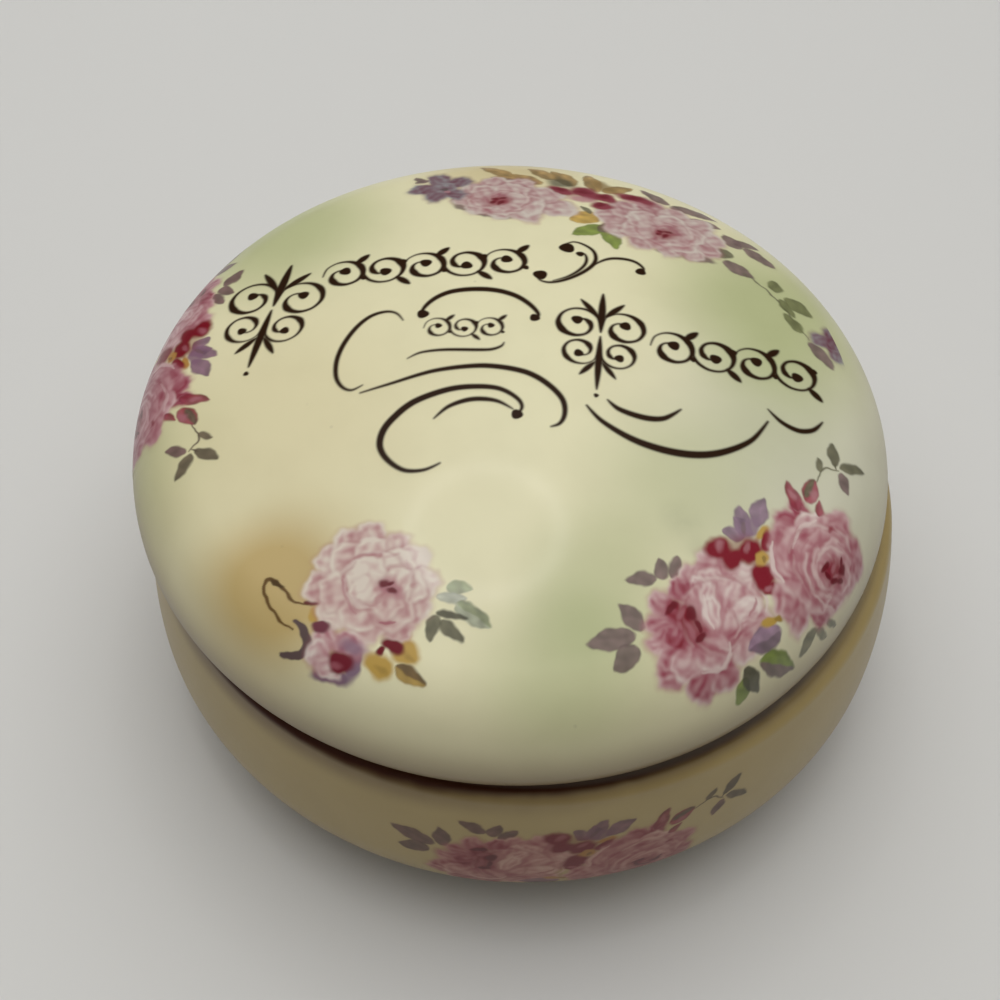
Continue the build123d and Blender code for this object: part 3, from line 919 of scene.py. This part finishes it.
def rose_between(ink):
    """The two pale roses of the long spray and the crimson between them."""
    ink.dabs((
        (22.6, 16, 2.4, 1.2, 20), (27, 17, 2.6, 1, 0), (33.8, 15.4, 2.8, 1.2, 160), (37, 11.6, 1.2, 2.4, 10),
        (-28.4, 6.2, 2, 1.2, 10), (-24.8, 8, 2.8, 1.2, 10), (-19, 9.8, 3, 1.2, 15), (26, -3.8, 3, 1.2, 10),
    ), ink.slate * 0.8, 0.85, 0.5)
    ink.dab(26, 7, 10, 8, 0, ink.rose(0.35))
    # These roses are dulled and made paler partly as painted haze of a grazing reflection
    petals_of(ink, (
        (12.4, 6, 5.8, 4.2, 190, 0.12, 0.36), (18.4, 12, 5, 3.8, 150, 0.2, 0.4),
        (17.8, 1.4, 5.6, 4.4, 215, 0.2, 0.42), (24, 13.8, 3.8, 3.8, 110, 0.22, 0.5),
        (30, 13.8, 3.8, 3.6, 75, 0.22, 0.5), (34.4, 11.2, 3.6, 3.4, 30, 0.22, 0.46),
        (34.6, 5.6, 3.8, 3.8, 350, 0.2, 0.42), (31, -0.2, 3.8, 3.8, 310, 0.28, 0.46),
        (24.8, -1.6, 4.2, 3.8, 265, 0.28, 0.46), (20.2, 8.4, 5.6, 5.8, 180, 0.1, 0.46),
        (24, 11.6, 4, 4, 120, 0.16, 0.5), (30, 10.6, 4, 4, 50, 0.2, 0.54),
        (31.2, 5.8, 4.2, 3.8, 340, 0.2, 0.46), (25.6, 3, 4.8, 4.6, 255, 0.14, 0.46),
        (23, 6.8, 3.8, 3.8, 200, 0.12, 0.5), (26.8, 8.8, 3.6, 3.6, 80, 0.38, 0.64),
    ), HAZE_MUTED, 0.08)
    ink.dab(-13, 0, 13, 8, 0, ink.rose(0.35))
    petals_of(ink, (
        (-27, 1.8, 3.6, 3.6, 180, 0.24, 0.44), (-24, 6, 3.6, 3.2, 140, 0.24, 0.46),
        (-18.6, 8, 3.8, 3.2, 110, 0.24, 0.5), (-12, 8.6, 4.2, 3.2, 80, 0.24, 0.5),
        (-5.6, 6.8, 4.6, 3.8, 40, 0.2, 0.44), (-1, 2.4, 4, 3.8, 10, 0.26, 0.46),
        (-3.6, -3, 4.8, 4.2, 330, 0.3, 0.5), (-8, -8.4, 4.6, 4, 300, 0.34, 0.56),
        (-15, -8, 4.2, 4.2, 265, 0.24, 0.42), (-22, -8, 4, 3.6, 230, 0.2, 0.4),
        (-26, -3.4, 4.2, 3.8, 200, 0.24, 0.42), (-20.6, 3.6, 4.4, 4.2, 160, 0.2, 0.46),
        (-14.6, 6, 4, 3.8, 95, 0.3, 0.56), (-9.4, 4.4, 4.6, 4.2, 40, 0.14, 0.46),
        (-9.2, -1, 4.8, 4.6, 340, 0.14, 0.44), (-15.4, -3.4, 4.8, 4.6, 265, 0.18, 0.46),
        (-21, -1.4, 4.4, 4.2, 210, 0.2, 0.46), (-16, 1.6, 4, 3.6, 60, 0.34, 0.6),
    ), HAZE_MUTED, 0.08)
    for x, y, turn in ((26.4, 9, 60), (-15.6, 2.4, 50)):
        streaks(ink, x - 1, y - 2, 10, 20)
        ink.dab(x, y, 3.2, 2.2, turn, ink.crimson, 0.65, 0.7)
        c, s = cos(radians(turn)), sin(radians(turn))
        for along, across, long in ((-1.6, -0.8, 1.1), (0.2, 0.9, 1.2), (1.5, -0.4, 1), (0.2, -1.3, 0.8)):
            place = (x + along * c - across * s, y + along * s + across * c)
            ink.dab(*place, long, 0.6, turn + 30 * across, ink.crimson * 0.6, 0.85, 0.5)
    for x, y, long, wide, turn in (
        (2.4, -1.2, 3, 2, 20), (8.4, -5.6, 4.4, 3, -10), (14.2, -3.6, 4, 1.8, -12), (-4, -10.4, 5.4, 2.2, 5),
        (3, -6, 3, 2.4, 0),
    ):
        ink.dab(x, y, long, wide, turn, ink.rose(0.84) * HAZE_MUTED)
        ink.dab(x + 0.8, y - 0.4, long * 0.5, wide * 0.4, turn + 20, ink.crimson * 0.6, 0.7, 0.8)
    ink.dab(8, -1.8, 3.4, 1.6, 15, ink.rose(0.5), 0.9, 0.5)
    ink.dab(-4, -8.4, 3, 0.8, 5, ink.rose(0.45), 0.8, 0.6)


VOLUTE_POINTS = 14
VOLUTE_SHRINK = 0.78
VOLUTE_SWEEP = 480


def volute(ink, x, y, size, start, sweep, wide):
    """A scroll that winds inwards from its outer end to a ball; a negative sweep winds clockwise."""
    shares = np.linspace(0, 1, VOLUTE_POINTS)
    turns = np.radians(start + sweep * shares)
    sizes = size * (1 - VOLUTE_SHRINK * ease(0.36, 1.05, shares))
    points = np.stack([x + sizes * np.cos(turns), y + sizes * np.sin(turns)], axis=-1)
    ink.pen(points, wide, 0.6)
    ink.ball(*points[-1], wide * 0.75)


def scroll_band(ink, start, end, count, wide):
    """A running band of scrolls between two places, winding up and down by turns, with a leaf on each."""
    step = np.subtract(end, start) / count
    way, size = np.degrees(np.arctan2(step[1], step[0])), np.hypot(*step) / 2
    ahead, aside = step / np.hypot(*step), np.array([-step[1], step[0]]) / np.hypot(*step)
    for number in range(count):
        middle = np.add(start, step * (number + 0.5))
        turn = 1 if number % 2 else -1
        volute(ink, *middle, size, way + 180, VOLUTE_SWEEP * turn, wide)
        root = middle + size * (0.66 * ahead - 0.72 * turn * aside)
        ink.drop(root, root + size * (0.62 * ahead - 0.62 * turn * aside), 0.9 * wide)
        ink.ball(*(middle + size * 1.02 * ahead + 0.5 * size * turn * aside), 0.42 * wide)


def scrollwork(ink):
    """Brown pen scrolls on the crown: long swashes, open loops and bands of small scrolls."""
    swashes = (
        (1.1, (
            (-30, 9.2), (-31.6, 11.4), (-34, 12.2), (-37.4, 11), (-40.4, 7.6), (-42.8, 2.4), (-43.9, -3),
            (-43.4, -8), (-41.6, -11), (-39.4, -11.9), (-37.2, -10.6),
        )),
        (1.5, (
            (-25.6, 10.6), (-25.6, 13), (-23.4, 16.4), (-19.6, 19), (-14, 20.1), (-8.6, 19.8), (-4, 18),
            (-0.6, 15), (1, 12.4), (0.6, 11),
        )),
        (0.9, ((-27.8, -3), (-25, -1.2), (-20, -0.3), (-14, -0.1), (-9.4, 0.2), (-7, 1.4), (-6.4, 2.6))),
        (1.4, (
            (-37.4, -12.8), (-30, -10), (-22, -6.8), (-14, -5.1), (-8, -4.8), (-1, -6), (4, -9), (7.4, -13),
            (8, -17), (7, -19.6), (5.2, -20.6),
        )),
        (1.5, (
            (-18.2, -31.5), (-21.3, -33.2), (-25.6, -33.4), (-29.4, -30.9), (-31.5, -27.4), (-31.2, -23.3),
            (-29, -19.5), (-25, -15.4), (-18, -12), (-12, -10.9), (-6.6, -11.2), (-2.6, -13.6), (-1.4, -16),
            (-2.4, -18.2),
        )),
        (1.2, ((-20.4, -20), (-17.6, -16.8), (-13.6, -14.8), (-10, -14.3), (-6.6, -14.8), (-3.4, -16.6))),
        (1.75, (
            (12.8, -14), (16, -17.6), (21.6, -21), (27, -22.8), (33, -23.5), (39, -22.8), (44.6, -20.4),
            (50, -16.2), (53.8, -10.2),
        )),
        (1.45, ((17.4, -11.8), (20, -14), (25.4, -15.4), (30, -14.8), (33.8, -11.6))),
        (1.3, ((54, -6.6), (57, -9.4), (61, -10.7), (64.6, -9.4), (67, -6.4))),
        (1, (
            (6, 39.4), (8.5, 41), (11, 40.3), (13.4, 38), (14, 34.5), (12.6, 31), (9.5, 27.5), (6, 25),
            (3, 24), (0.9, 24.6), (0.3, 25.8),
        )),
        (0.8, ((10, 36.4), (11.2, 36.4), (11.8, 34.6), (11.4, 32), (9.6, 29), (7, 26.5), (4, 24.8))),
        (1, ((12.8, 31.4), (15.4, 34.2), (18, 35.8), (21.4, 36.2), (24, 35.4), (25.6, 33.4), (25.2, 31.8))),
    )
    for wide, points in swashes:
        ink.pen(points, wide)
    for x, y, size in (
        (7, 38.2, 1.9), (0.9, 26.6, 1.7), (10.2, 36.2, 1), (24.9, 32, 1.3), (0.2, 11.2, 1.2),
        (-2.4, -18, 1.3), (-25.6, 11.2, 1.4),
    ):
        ink.ball(x, y, size)
    scroll_band(ink, (-51, 26.2), (-3, 31.4), 5, 1.9)
    scroll_band(ink, (27, 6.4), (66, 6.4), 4, 1.9)
    scroll_band(ink, (-25, 6.6), (-7, 7.4), 3, 1.1)
    palmette(ink, -62, 15, 9.6, -8)
    palmette(ink, 15.4, 6.4, 8.4, -2)


def palmette(ink, x, y, size, lean):
    """An upright ornament, the same on both sides of its stem: two pairs of scrolls, leaves and drops."""
    c, s = cos(radians(lean)), sin(radians(lean))

    def at(across, up):
        return x + size * (across * c - up * s), y + size * (across * s + up * c)

    for side in (-1, 1):
        start, sweep = 90 + 90 * side + lean, side * VOLUTE_SWEEP
        volute(ink, *at(0.6 * side, 0.5), 0.58 * size, start, -sweep, 1.8)
        volute(ink, *at(0.5 * side, -0.56), 0.46 * size, start, sweep, 1.5)
        ink.drop(at(0.1 * side, 0.86), at(0.6 * side, 1.46), 0.17 * size)
        ink.drop(at(0.1 * side, -0.9), at(0.48 * side, -1.4), 0.15 * size)
    ink.drop(at(0, 0.24), at(0, 1.8), 0.2 * size)
    ink.drop(at(0, 0.06), at(0, -1.84), 0.18 * size)
    ink.ball(*at(0, -2.06), 0.07 * size)


class Shading:
    """A socket of a material, so that shader maths reads as ordinary sums."""

    def __init__(self, tree, socket):
        self.tree, self.socket = tree, socket

    def node(self, kind, output=0, settings=None, **inputs):
        """A new node: its type, its settings, and a value or a link for each of its sockets."""
        made = self.tree.nodes.new(kind)
        for name, value in (settings or {}).items():
            setattr(made, name, value)
        for name, value in inputs.items():
            place = int(name[1:]) if name[0] == "_" else name
            self.feed(made.inputs[place], value)
        return Shading(self.tree, made.outputs[output])

    def other(self, output):
        """Another output of the same node."""
        return Shading(self.tree, self.socket.node.outputs[output])

    def feed(self, place, value):
        """Link a socket, or set its plain value."""
        if isinstance(value, Shading):
            self.tree.links.new(value.socket, place)
        else:
            place.default_value = value

    def sum(self, operation, *values):
        """One Math node."""
        values = {f"_{number}": value for number, value in enumerate(values)}
        return self.node("ShaderNodeMath", settings={"operation": operation}, **values)

    def __add__(self, other):
        return self.sum("ADD", self, other)

    def __sub__(self, other):
        return self.sum("SUBTRACT", self, other)

    def __rsub__(self, other):
        return self.sum("SUBTRACT", other, self)

    def __mul__(self, other):
        return self.sum("MULTIPLY", self, other)

    __radd__, __rmul__ = __add__, __mul__

    def ease(self, low, high):
        """0 below low, 1 above high and smooth between."""
        smooth = {"interpolation_type": "SMOOTHSTEP"}
        return self.node("ShaderNodeMapRange", 0, smooth, _0=self, _1=low, _2=high, _3=0, _4=1)

    def blend(self, first, second, kind="MIX"):
        """Two colours mixed, by this share of the second."""
        settings = {"data_type": "RGBA", "blend_type": kind, "clamp_factor": True}
        return self.node("ShaderNodeMix", 2, settings, _0=self, _6=first, _7=second)

    def vector(self, operation, *values, output=0):
        """One Vector Math node."""
        values = {f"_{number}": value for number, value in enumerate(values)}
        return self.node("ShaderNodeVectorMath", output, {"operation": operation}, **values)


def rgb(tone):
    """A colour as a socket takes it."""
    return (*tone, 1)


def noise(point, scale, detail):
    """Soft noise from 0 to 1 at a scale per metre."""
    return point.node("ShaderNodeTexNoise", Vector=point, Scale=scale, Detail=detail)


def cloud(point, wander, center, reach, strength=1.0):
    """A round patch with a soft, uneven edge, airbrushed colour or painted shade and reflection."""
    gap = point.vector("DISTANCE", point, tuple(part * MM for part in center), output="Value")
    return (1 - (gap * (0.75 + 0.5 * wander)).ease(CLOUD_CORE * reach * MM, reach * MM)) * strength


def clouds(point, wander, blots):
    """Several patches of one colour, airbrushed or painted shade."""
    patches = [cloud(point, wander, *blot) for blot in blots]
    return sum(patches[1:], patches[0])


def start_material(name):
    """A new material and its shader."""
    material = bpy.data.materials.new(name)
    material.use_nodes = True
    return material, material.node_tree.nodes["Principled BSDF"]


# Patches, airbrushed or of painted shade and reflection: the middle and the reach in millimetres and, where
# it isn't 1, the strength
# The green patches are airbrushed colour, except the last, at the lid's left edge, which is painted shade
GREEN_CLOUDS_AND_SHADE = (
    ((-63.5, 48, 87), 40, 0.85), ((56.3, 27, 91), 40, 0.95), ((53.8, -6, 93.1), 28, 0.35),
    ((16, -57, 92), 24, 0.6), ((11, -76, 86), 27, 0.65), ((34, -32, 96), 30, 0.5), ((-88, -25, 74), 34, 0.6),
)
OCHRE_CLOUDS = (
    ((-53.3, -63.5, 85.5), 27, 0.8), ((-44, -56, 89), 24, 0.4), ((-11.4, 78, 86), 30, 0.5),
    ((-54, -22, 90), 60, 0.24),
)
SMUDGES = (((34, -40, 96), 7), ((38, -46, 94), 5))
# Painted reflection: a wide pale grey patch over the lid's right side
GREY_SHEEN = ((66, -18, 88), 62, 0.9)


def lid_ground(point, glazes):
    """Colour of the lid's glaze: cream, airbrushed in green and ochre, a little uneven, with painted shade
    that darkens it towards the lip and at its left edge, and a pale grey painted reflection on its right
    side.
    """
    wander = noise(point, CLOUD_NOISE, 1)
    ground = cloud(point, wander, *GREY_SHEEN).blend(rgb(glazes.cream), rgb(glazes.grey))
    ground = clouds(point, wander, GREEN_CLOUDS_AND_SHADE).blend(ground, rgb(glazes.green))
    ground = clouds(point, wander, OCHRE_CLOUDS).blend(ground, rgb(glazes.ochre))
    smudge = clouds(point, wander, SMUDGES) * noise(point, SMUDGE_NOISE, 3)
    ground = (smudge * SMUDGE_SHARE).blend(ground, rgb(glazes.green_shade))
    height = height_of(point)
    # Painted shade: the lid darkens to tan over its curl and to brown just above its lip, where it turns away
    # from the light
    low = 1 - height.ease(*CURL_ZONE)
    ground = (low * CURL_SHADE).blend(ground, rgb(glazes.shade_and_stain_tan))
    lip_shade_mask = 1 - height.ease(*LIP_ZONE)
    return uneven(point, (lip_shade_mask * LIP_SHADE).blend(ground, rgb(glazes.lip_shade_brown)))


def base_ground(point, glazes):
    """Colour of the base's glaze: tan, warmer towards the foot, with dark brown painted shade in the gap
    under the lid.
    """
    height, seat = height_of(point), base_sizes().seat
    ground = height.ease(*FOOT_ZONE).blend(rgb(glazes.foot_tan), rgb(glazes.tan))
    gap = point.vector("MULTIPLY", point.vector("SUBTRACT", point, (LID_MIDDLE, 0, 0)), (1, 1, 0))
    gap = gap.vector("LENGTH", gap, output="Value") + 1.2 * MM * noise(point, GROOVE_NOISE, 1)
    # Painted shade: near the lid's lip the seat darkens softly, then to a dark brown line, as if shaded by
    # the lid
    near, nearer = (
        1 - gap.ease(GROOVE_RADIUS, GROOVE_RADIUS + reach) for reach in (SHADE_REACH, GROOVE_REACH)
    )
    shade = height.ease(*shifted(seat, SHADE_ZONE)) * near
    groove_shade = height.ease(*shifted(seat, GROOVE_ZONE)) * nearer
    ground = (shade * GROOVE_SHADE).blend(uneven(point, ground), rgb(glazes.groove_shade))
    return groove_shade.blend(ground, rgb(glazes.groove_shade))


def height_of(point):
    """Height above the table."""
    return point.node("ShaderNodeSeparateXYZ", 2, Vector=point)


def shifted(start, zone):
    """Both ends of a zone that is given from a start."""
    return [start + end for end in zone]


def lid_bare(point):
    """The lid's unglazed lip."""
    return 1 - height_of(point).ease(*LIP_GLAZED)


def base_bare(point):
    """The unglazed seat inside the painted shade under the lid's lip, and the foot's face."""
    radius = point.vector("LENGTH", point.vector("MULTIPLY", point, (1, 1, 0)), output="Value")
    height, base = height_of(point), base_sizes()
    level = 1 - (height - base.seat).sum("ABSOLUTE").ease(*FACE_GLAZED)
    rim = base.radius - base.swell - base.rim_round
    inner, outer = radius.ease(*shifted(rim, SEAT_INNER)), radius.ease(*shifted(rim, SEAT_OUTER))
    return level * inner * (1 - outer) + (1 - height.ease(*FACE_GLAZED))


def uneven(point, ground):
    """The slight mottling and the rare specks of an old fired ground."""
    mottle = noise(point, MOTTLE_NOISE, 3)
    ground = (mottle.ease(*MOTTLE_RANGE) * MOTTLE_SHARE).blend(ground, MOTTLE_BROWN, "MULTIPLY")
    speck = point.node("ShaderNodeTexVoronoi", Vector=point, Scale=SPECK_CELLS)
    rare = noise(point, RARE_NOISE, 0).ease(*RARE_RANGE)
    return ((1 - speck.ease(*SPECK_RANGE)) * rare * SPECK_SHARE).blend(ground, SPECK_BROWN)


def glaze(name, ground_of, bare_of=None, gloss=None):
    """A satin glaze; a print on it has a gloss of its own, and a shell has plain and unglazed faces."""
    material, shader = start_material(name)
    point = Shading(material.node_tree, None).node("ShaderNodeTexCoord", "Object")
    glazes = bpy.context.scene.collar_box_glazes
    grain = noise(point, GRAIN_NOISE, 2)
    ground, coat, rough = ground_of(point, glazes), GROUND_GLOSS, GLAZE_ROUGHNESS + GRAIN_ROUGHNESS * grain
    if gloss is not None:
        ink = point.node("ShaderNodeAttribute", "Color", {"attribute_name": "print"})
        cover = ink.other("Alpha")
        ground = ink.vector("ADD", ink.vector("MULTIPLY", ground, as_vector(1 - cover)), ink)
        if gloss != GROUND_GLOSS:
            coat = GROUND_GLOSS + cover.ease(*COVER_RANGE) * (gloss - GROUND_GLOSS)
    if bare_of is not None:
        outside = point.node("ShaderNodeAttribute", "Fac", {"attribute_name": "outside"})
        bare = bare_of(point)
        stain = noise(point, BISCUIT_NOISE, 3) * BISCUIT_STAIN
        biscuit = stain.blend(rgb(glazes.biscuit), rgb(glazes.shade_and_stain_tan))
        ground = outside.blend(uneven(point, rgb(glazes.inside)), ground)
        ground = bare.blend(ground, biscuit)
        coat, rough = GROUND_GLOSS - GROUND_GLOSS * bare, rough + BISCUIT_ROUGHNESS * bare
    point.feed(shader.inputs["Base Color"], ground)
    point.feed(shader.inputs["Roughness"], rough)
    point.feed(shader.inputs["Coat Weight"], coat)
    shader.inputs["Coat Roughness"].default_value = COAT_ROUGHNESS
    shader.inputs["Specular IOR Level"].default_value = SPECULAR_LEVEL
    bump = point.node("ShaderNodeBump", Strength=BUMP_STRENGTH, Distance=BUMP_DEPTH, Height=grain)
    point.feed(shader.inputs["Normal"], bump)
    return material


def as_vector(value):
    """The same number in all three parts."""
    return value.node("ShaderNodeCombineXYZ", X=value, Y=value, Z=value)


class COLLARBOX_OT_lid(bpy.types.Operator):
    """Turn the lid's shell and glaze it"""

    bl_idname = "collarbox.lid"
    bl_label = "Lid"

    def execute(self, context):
        lid = context.scene.collar_box_lid
        piece = shell("lid_shell", lid_outline(lid), LID_MIDDLE)
        piece.data.materials.append(glaze("lid glaze", lid_ground, lid_bare))
        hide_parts("lid")
        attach(piece, "lid")
        return {"FINISHED"}


class COLLARBOX_OT_base(bpy.types.Operator):
    """Turn the base's shell and glaze it"""

    bl_idname = "collarbox.base"
    bl_label = "Base"

    def execute(self, context):
        piece = shell("base_shell", base_outline(context.scene.collar_box_base), 0)
        piece.data.materials.append(glaze("base glaze", base_ground, base_bare))
        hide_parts("base")
        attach(piece, "base")
        return {"FINISHED"}


# Low and high corner of each print from its origin, in millimetres
BOUQUET_SPREAD = ((-38, -19.5), (47, 21.5))
SPRAY_SPREAD = ((-23, -23.5), (28.5, 15))
BACK_SPREAD = ((-72, -19), (54, 25.5))
SCROLL_SPREAD = ((-76, -36), (70, 46))

# Each print's azimuth round the box, its length down the half section and its turn
RIGHT_PLACE = (radians(315), 78 * MM, 0)
LEFT_PLACE = (radians(172.3), 90.6 * MM, radians(12))
BACK_PLACE = (radians(70), 62 * MM, 0)
SPRAY_PLACE = (radians(246), 66 * MM, 0)
BASE_FRONT_PLACE = (radians(277.9), 28.9 * MM, radians(4))
BASE_BACK_PLACE = (radians(97), 28.9 * MM, radians(4))

# Width of a print's faces, in millimetres
FINE, FINER, COARSER = 0.24, 0.22, 0.3


def bouquet_patch(name, face, middle, place, tone):
    """A large bouquet on a face."""
    return print_patch(name, face, middle, place, BOUQUET_SPREAD, bouquet, FINE, tone)


class COLLARBOX_OT_lid_prints(bpy.types.Operator):
    """Lay the rose prints and the brown scrollwork on the lid"""

    bl_idname = "collarbox.lid_prints"
    bl_label = "Lid Prints"

    def execute(self, context):
        lid, middle = context.scene.collar_box_lid, LID_MIDDLE
        face = lid_face(lid, -LIFT, PRINT_STEP)
        material = glaze("lid print", lid_ground, gloss=LID_PRINT_GLOSS)
        long_spray = (BACK_PLACE, BACK_SPREAD, back_print, COARSER, LID_TONE)
        spray = (SPRAY_PLACE, SPRAY_SPREAD, small_spray, FINER, LID_TONE)
        pieces = [
            bouquet_patch("lid_bouquet_right", face, middle, RIGHT_PLACE, LID_TONE),
            bouquet_patch("lid_bouquet_left", face, middle, LEFT_PLACE, LEFT_TONE),
            print_patch("lid_long_spray", face, middle, *long_spray),
            print_patch("lid_small_spray", face, middle, *spray),
            crown_patch("lid_scrollwork", lid, middle, SCROLL_SPREAD, scrollwork, FINE),
        ]
        for piece in pieces:
            piece.data.materials.append(material)
            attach(piece, "lid")
        pieces[-1].data.materials[0] = glaze("lid scrolls", lid_ground, gloss=GROUND_GLOSS)
        return {"FINISHED"}


class COLLARBOX_OT_base_prints(bpy.types.Operator):
    """Lay the rose prints on the base"""

    bl_idname = "collarbox.base_prints"
    bl_label = "Base Prints"

    def execute(self, context):
        face = base_face(context.scene.collar_box_base, -LIFT, PRINT_STEP)
        material = glaze("base print", base_ground, gloss=BASE_PRINT_GLOSS)
        pieces = [
            bouquet_patch("base_bouquet_front", face, 0, BASE_FRONT_PLACE, BASE_TONE),
            bouquet_patch("base_bouquet_back", face, 0, BASE_BACK_PLACE, BASE_TONE),
        ]
        for piece in pieces:
            piece.data.materials.append(material)
            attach(piece, "base")
        return {"FINISHED"}


class COLLARBOX_OT_stage(bpy.types.Operator):
    """Set up the floor, the lamps, the world and the camera"""

    bl_idname = "collarbox.stage"
    bl_label = "Studio"

    def execute(self, context):
        studio = context.scene.collar_box_studio
        lay_floor(studio)
        hang_lamps(studio)
        place_camera(studio)
        context.scene.view_settings.view_transform = "Standard"
        return {"FINISHED"}


def lay_floor(studio):
    """A wide plain floor under the box."""
    body = bmesh.new()
    bmesh.ops.create_circle(body, cap_ends=True, radius=FLOOR_RADIUS, segments=CIRCLE_SIDES)
    floor = finished("floor", body)
    material, shader = start_material("floor")
    shader.inputs["Base Color"].default_value = rgb(studio.floor)
    shader.inputs["Roughness"].default_value = FLOOR_ROUGHNESS
    floor.data.materials.append(material)


def hang_lamps(studio):
    """Two wide softboxes overhead, a ring lamp that shows in the glaze, and a little light all round."""
    softbox("softbox_back", BACK_RISE, BACK_AZIMUTH, BACK_SIZE, studio.back_power)
    softbox("softbox_top", OVERHEAD, OVERHEAD, TOP_SIZE, studio.top_power)
    ring_lamp("ring_lamp", studio.ring_strength)
    world = bpy.data.worlds.new("studio")
    world.use_nodes = True
    seen = Shading(world.node_tree, None).node("ShaderNodeLightPath", "Is Camera Ray")
    sky = world.node_tree.nodes["Background"]
    seen.feed(sky.inputs["Strength"], seen * BACKDROP + studio.fill)
    sky.inputs["Color"].default_value = WHITE
    bpy.context.scene.world = world


def softbox(name, rise, azimuth, size, power):
    """A round softbox that looks at the box from a direction."""
    light = bpy.data.lights.new(name, "AREA")
    light.shape, light.size, light.energy = "DISK", size, power
    lamp = bpy.data.objects.new(name, light)
    way = Vector((cos(rise) * cos(azimuth), cos(rise) * sin(azimuth), sin(rise)))
    lamp.location = LAMP_AIM + way * LAMP_DISTANCE
    lamp.rotation_euler = way.to_track_quat("Z", "Y").to_euler()
    lamp.visible_glossy = False
    bpy.context.scene.collection.objects.link(lamp)


def ring_lamp(name, strength):
    """A flat ring over the box that glows white."""
    body = bmesh.new()
    bmesh.ops.create_circle(body, radius=RING_RADIUS, segments=CIRCLE_SIDES)
    inside = points_of(bmesh.ops.extrude_edge_only(body, edges=body.edges)["geom"])
    share = (RING_RADIUS - RING_WIDTH) / RING_RADIUS
    bmesh.ops.scale(body, verts=inside, vec=(share, share, share))
    bmesh.ops.translate(body, verts=body.verts, vec=RING_MIDDLE)
    ring = finished(name, body)
    material, shader = start_material(name)
    shader.inputs["Base Color"].default_value = BLACK
    shader.inputs["Emission Color"].default_value = WHITE
    shader.inputs["Emission Strength"].default_value = strength
    ring.data.materials.append(material)


def place_camera(studio):
    """The photograph's camera: from the front, looking down, a little tipped."""
    rise, roll = studio.camera_rise, studio.camera_roll
    back = Vector((0, -cos(rise), sin(rise)))
    up = Vector((0, sin(rise), cos(rise)))
    facing = (back + Vector((LEAN_RIGHT, 0, 0)) + up * LEAN_UP).normalized()
    side = up.cross(facing).normalized()
    top = facing.cross(side)
    tipped_side, tipped_top = cos(roll) * side + sin(roll) * top, cos(roll) * top - sin(roll) * side
    data = bpy.data.cameras.new("camera")
    data.lens, data.sensor_width = CAMERA_LENS, CAMERA_FILM
    camera = bpy.data.objects.new("camera", data)
    turn = Matrix((tipped_side, tipped_top, facing)).transposed().to_4x4()
    camera.matrix_world = Matrix.Translation(CAMERA_AIM + back * studio.camera_distance) @ turn
    bpy.context.scene.collection.objects.link(camera)
    bpy.context.scene.camera = camera


class COLLARBOX_PT_panel(bpy.types.Panel):
    """Buttons for the pieces of the collar box"""

    bl_idname = "COLLARBOX_PT_panel"
    bl_label = "Collar Box"
    bl_space_type = "VIEW_3D"
    bl_region_type = "UI"
    bl_category = "Collar Box"

    def draw(self, context):
        for operator in OPERATORS:
            self.layout.operator(operator.bl_idname)


GROUPS = {
    "collar_box_lid": LidSizes,
    "collar_box_base": BaseSizes,
    "collar_box_glazes": GlazeColours,
    "collar_box_inks": Inks,
    "collar_box_studio": Studio,
}
OPERATORS = (
    COLLARBOX_OT_base, COLLARBOX_OT_lid, COLLARBOX_OT_lid_prints, COLLARBOX_OT_base_prints, COLLARBOX_OT_stage
)


def register():
    """Register the classes and give the scene its sizes and colours."""
    for kind in (*GROUPS.values(), *OPERATORS, COLLARBOX_PT_panel):
        bpy.utils.register_class(kind)
    for name, group in GROUPS.items():
        setattr(bpy.types.Scene, name, PointerProperty(type=group))


def unregister():
    """Take the sizes, the colours and the classes away again."""
    for name in GROUPS:
        delattr(bpy.types.Scene, name)
    for kind in (COLLARBOX_PT_panel, *reversed(OPERATORS), *reversed(GROUPS.values())):
        bpy.utils.unregister_class(kind)


def main():
    """Build the box and its studio."""
    register()
    bpy.ops.collarbox.base()
    bpy.ops.collarbox.lid()
    bpy.ops.collarbox.lid_prints()
    bpy.ops.collarbox.base_prints()
    bpy.ops.collarbox.stage()


if __name__ == "__main__":
    main()
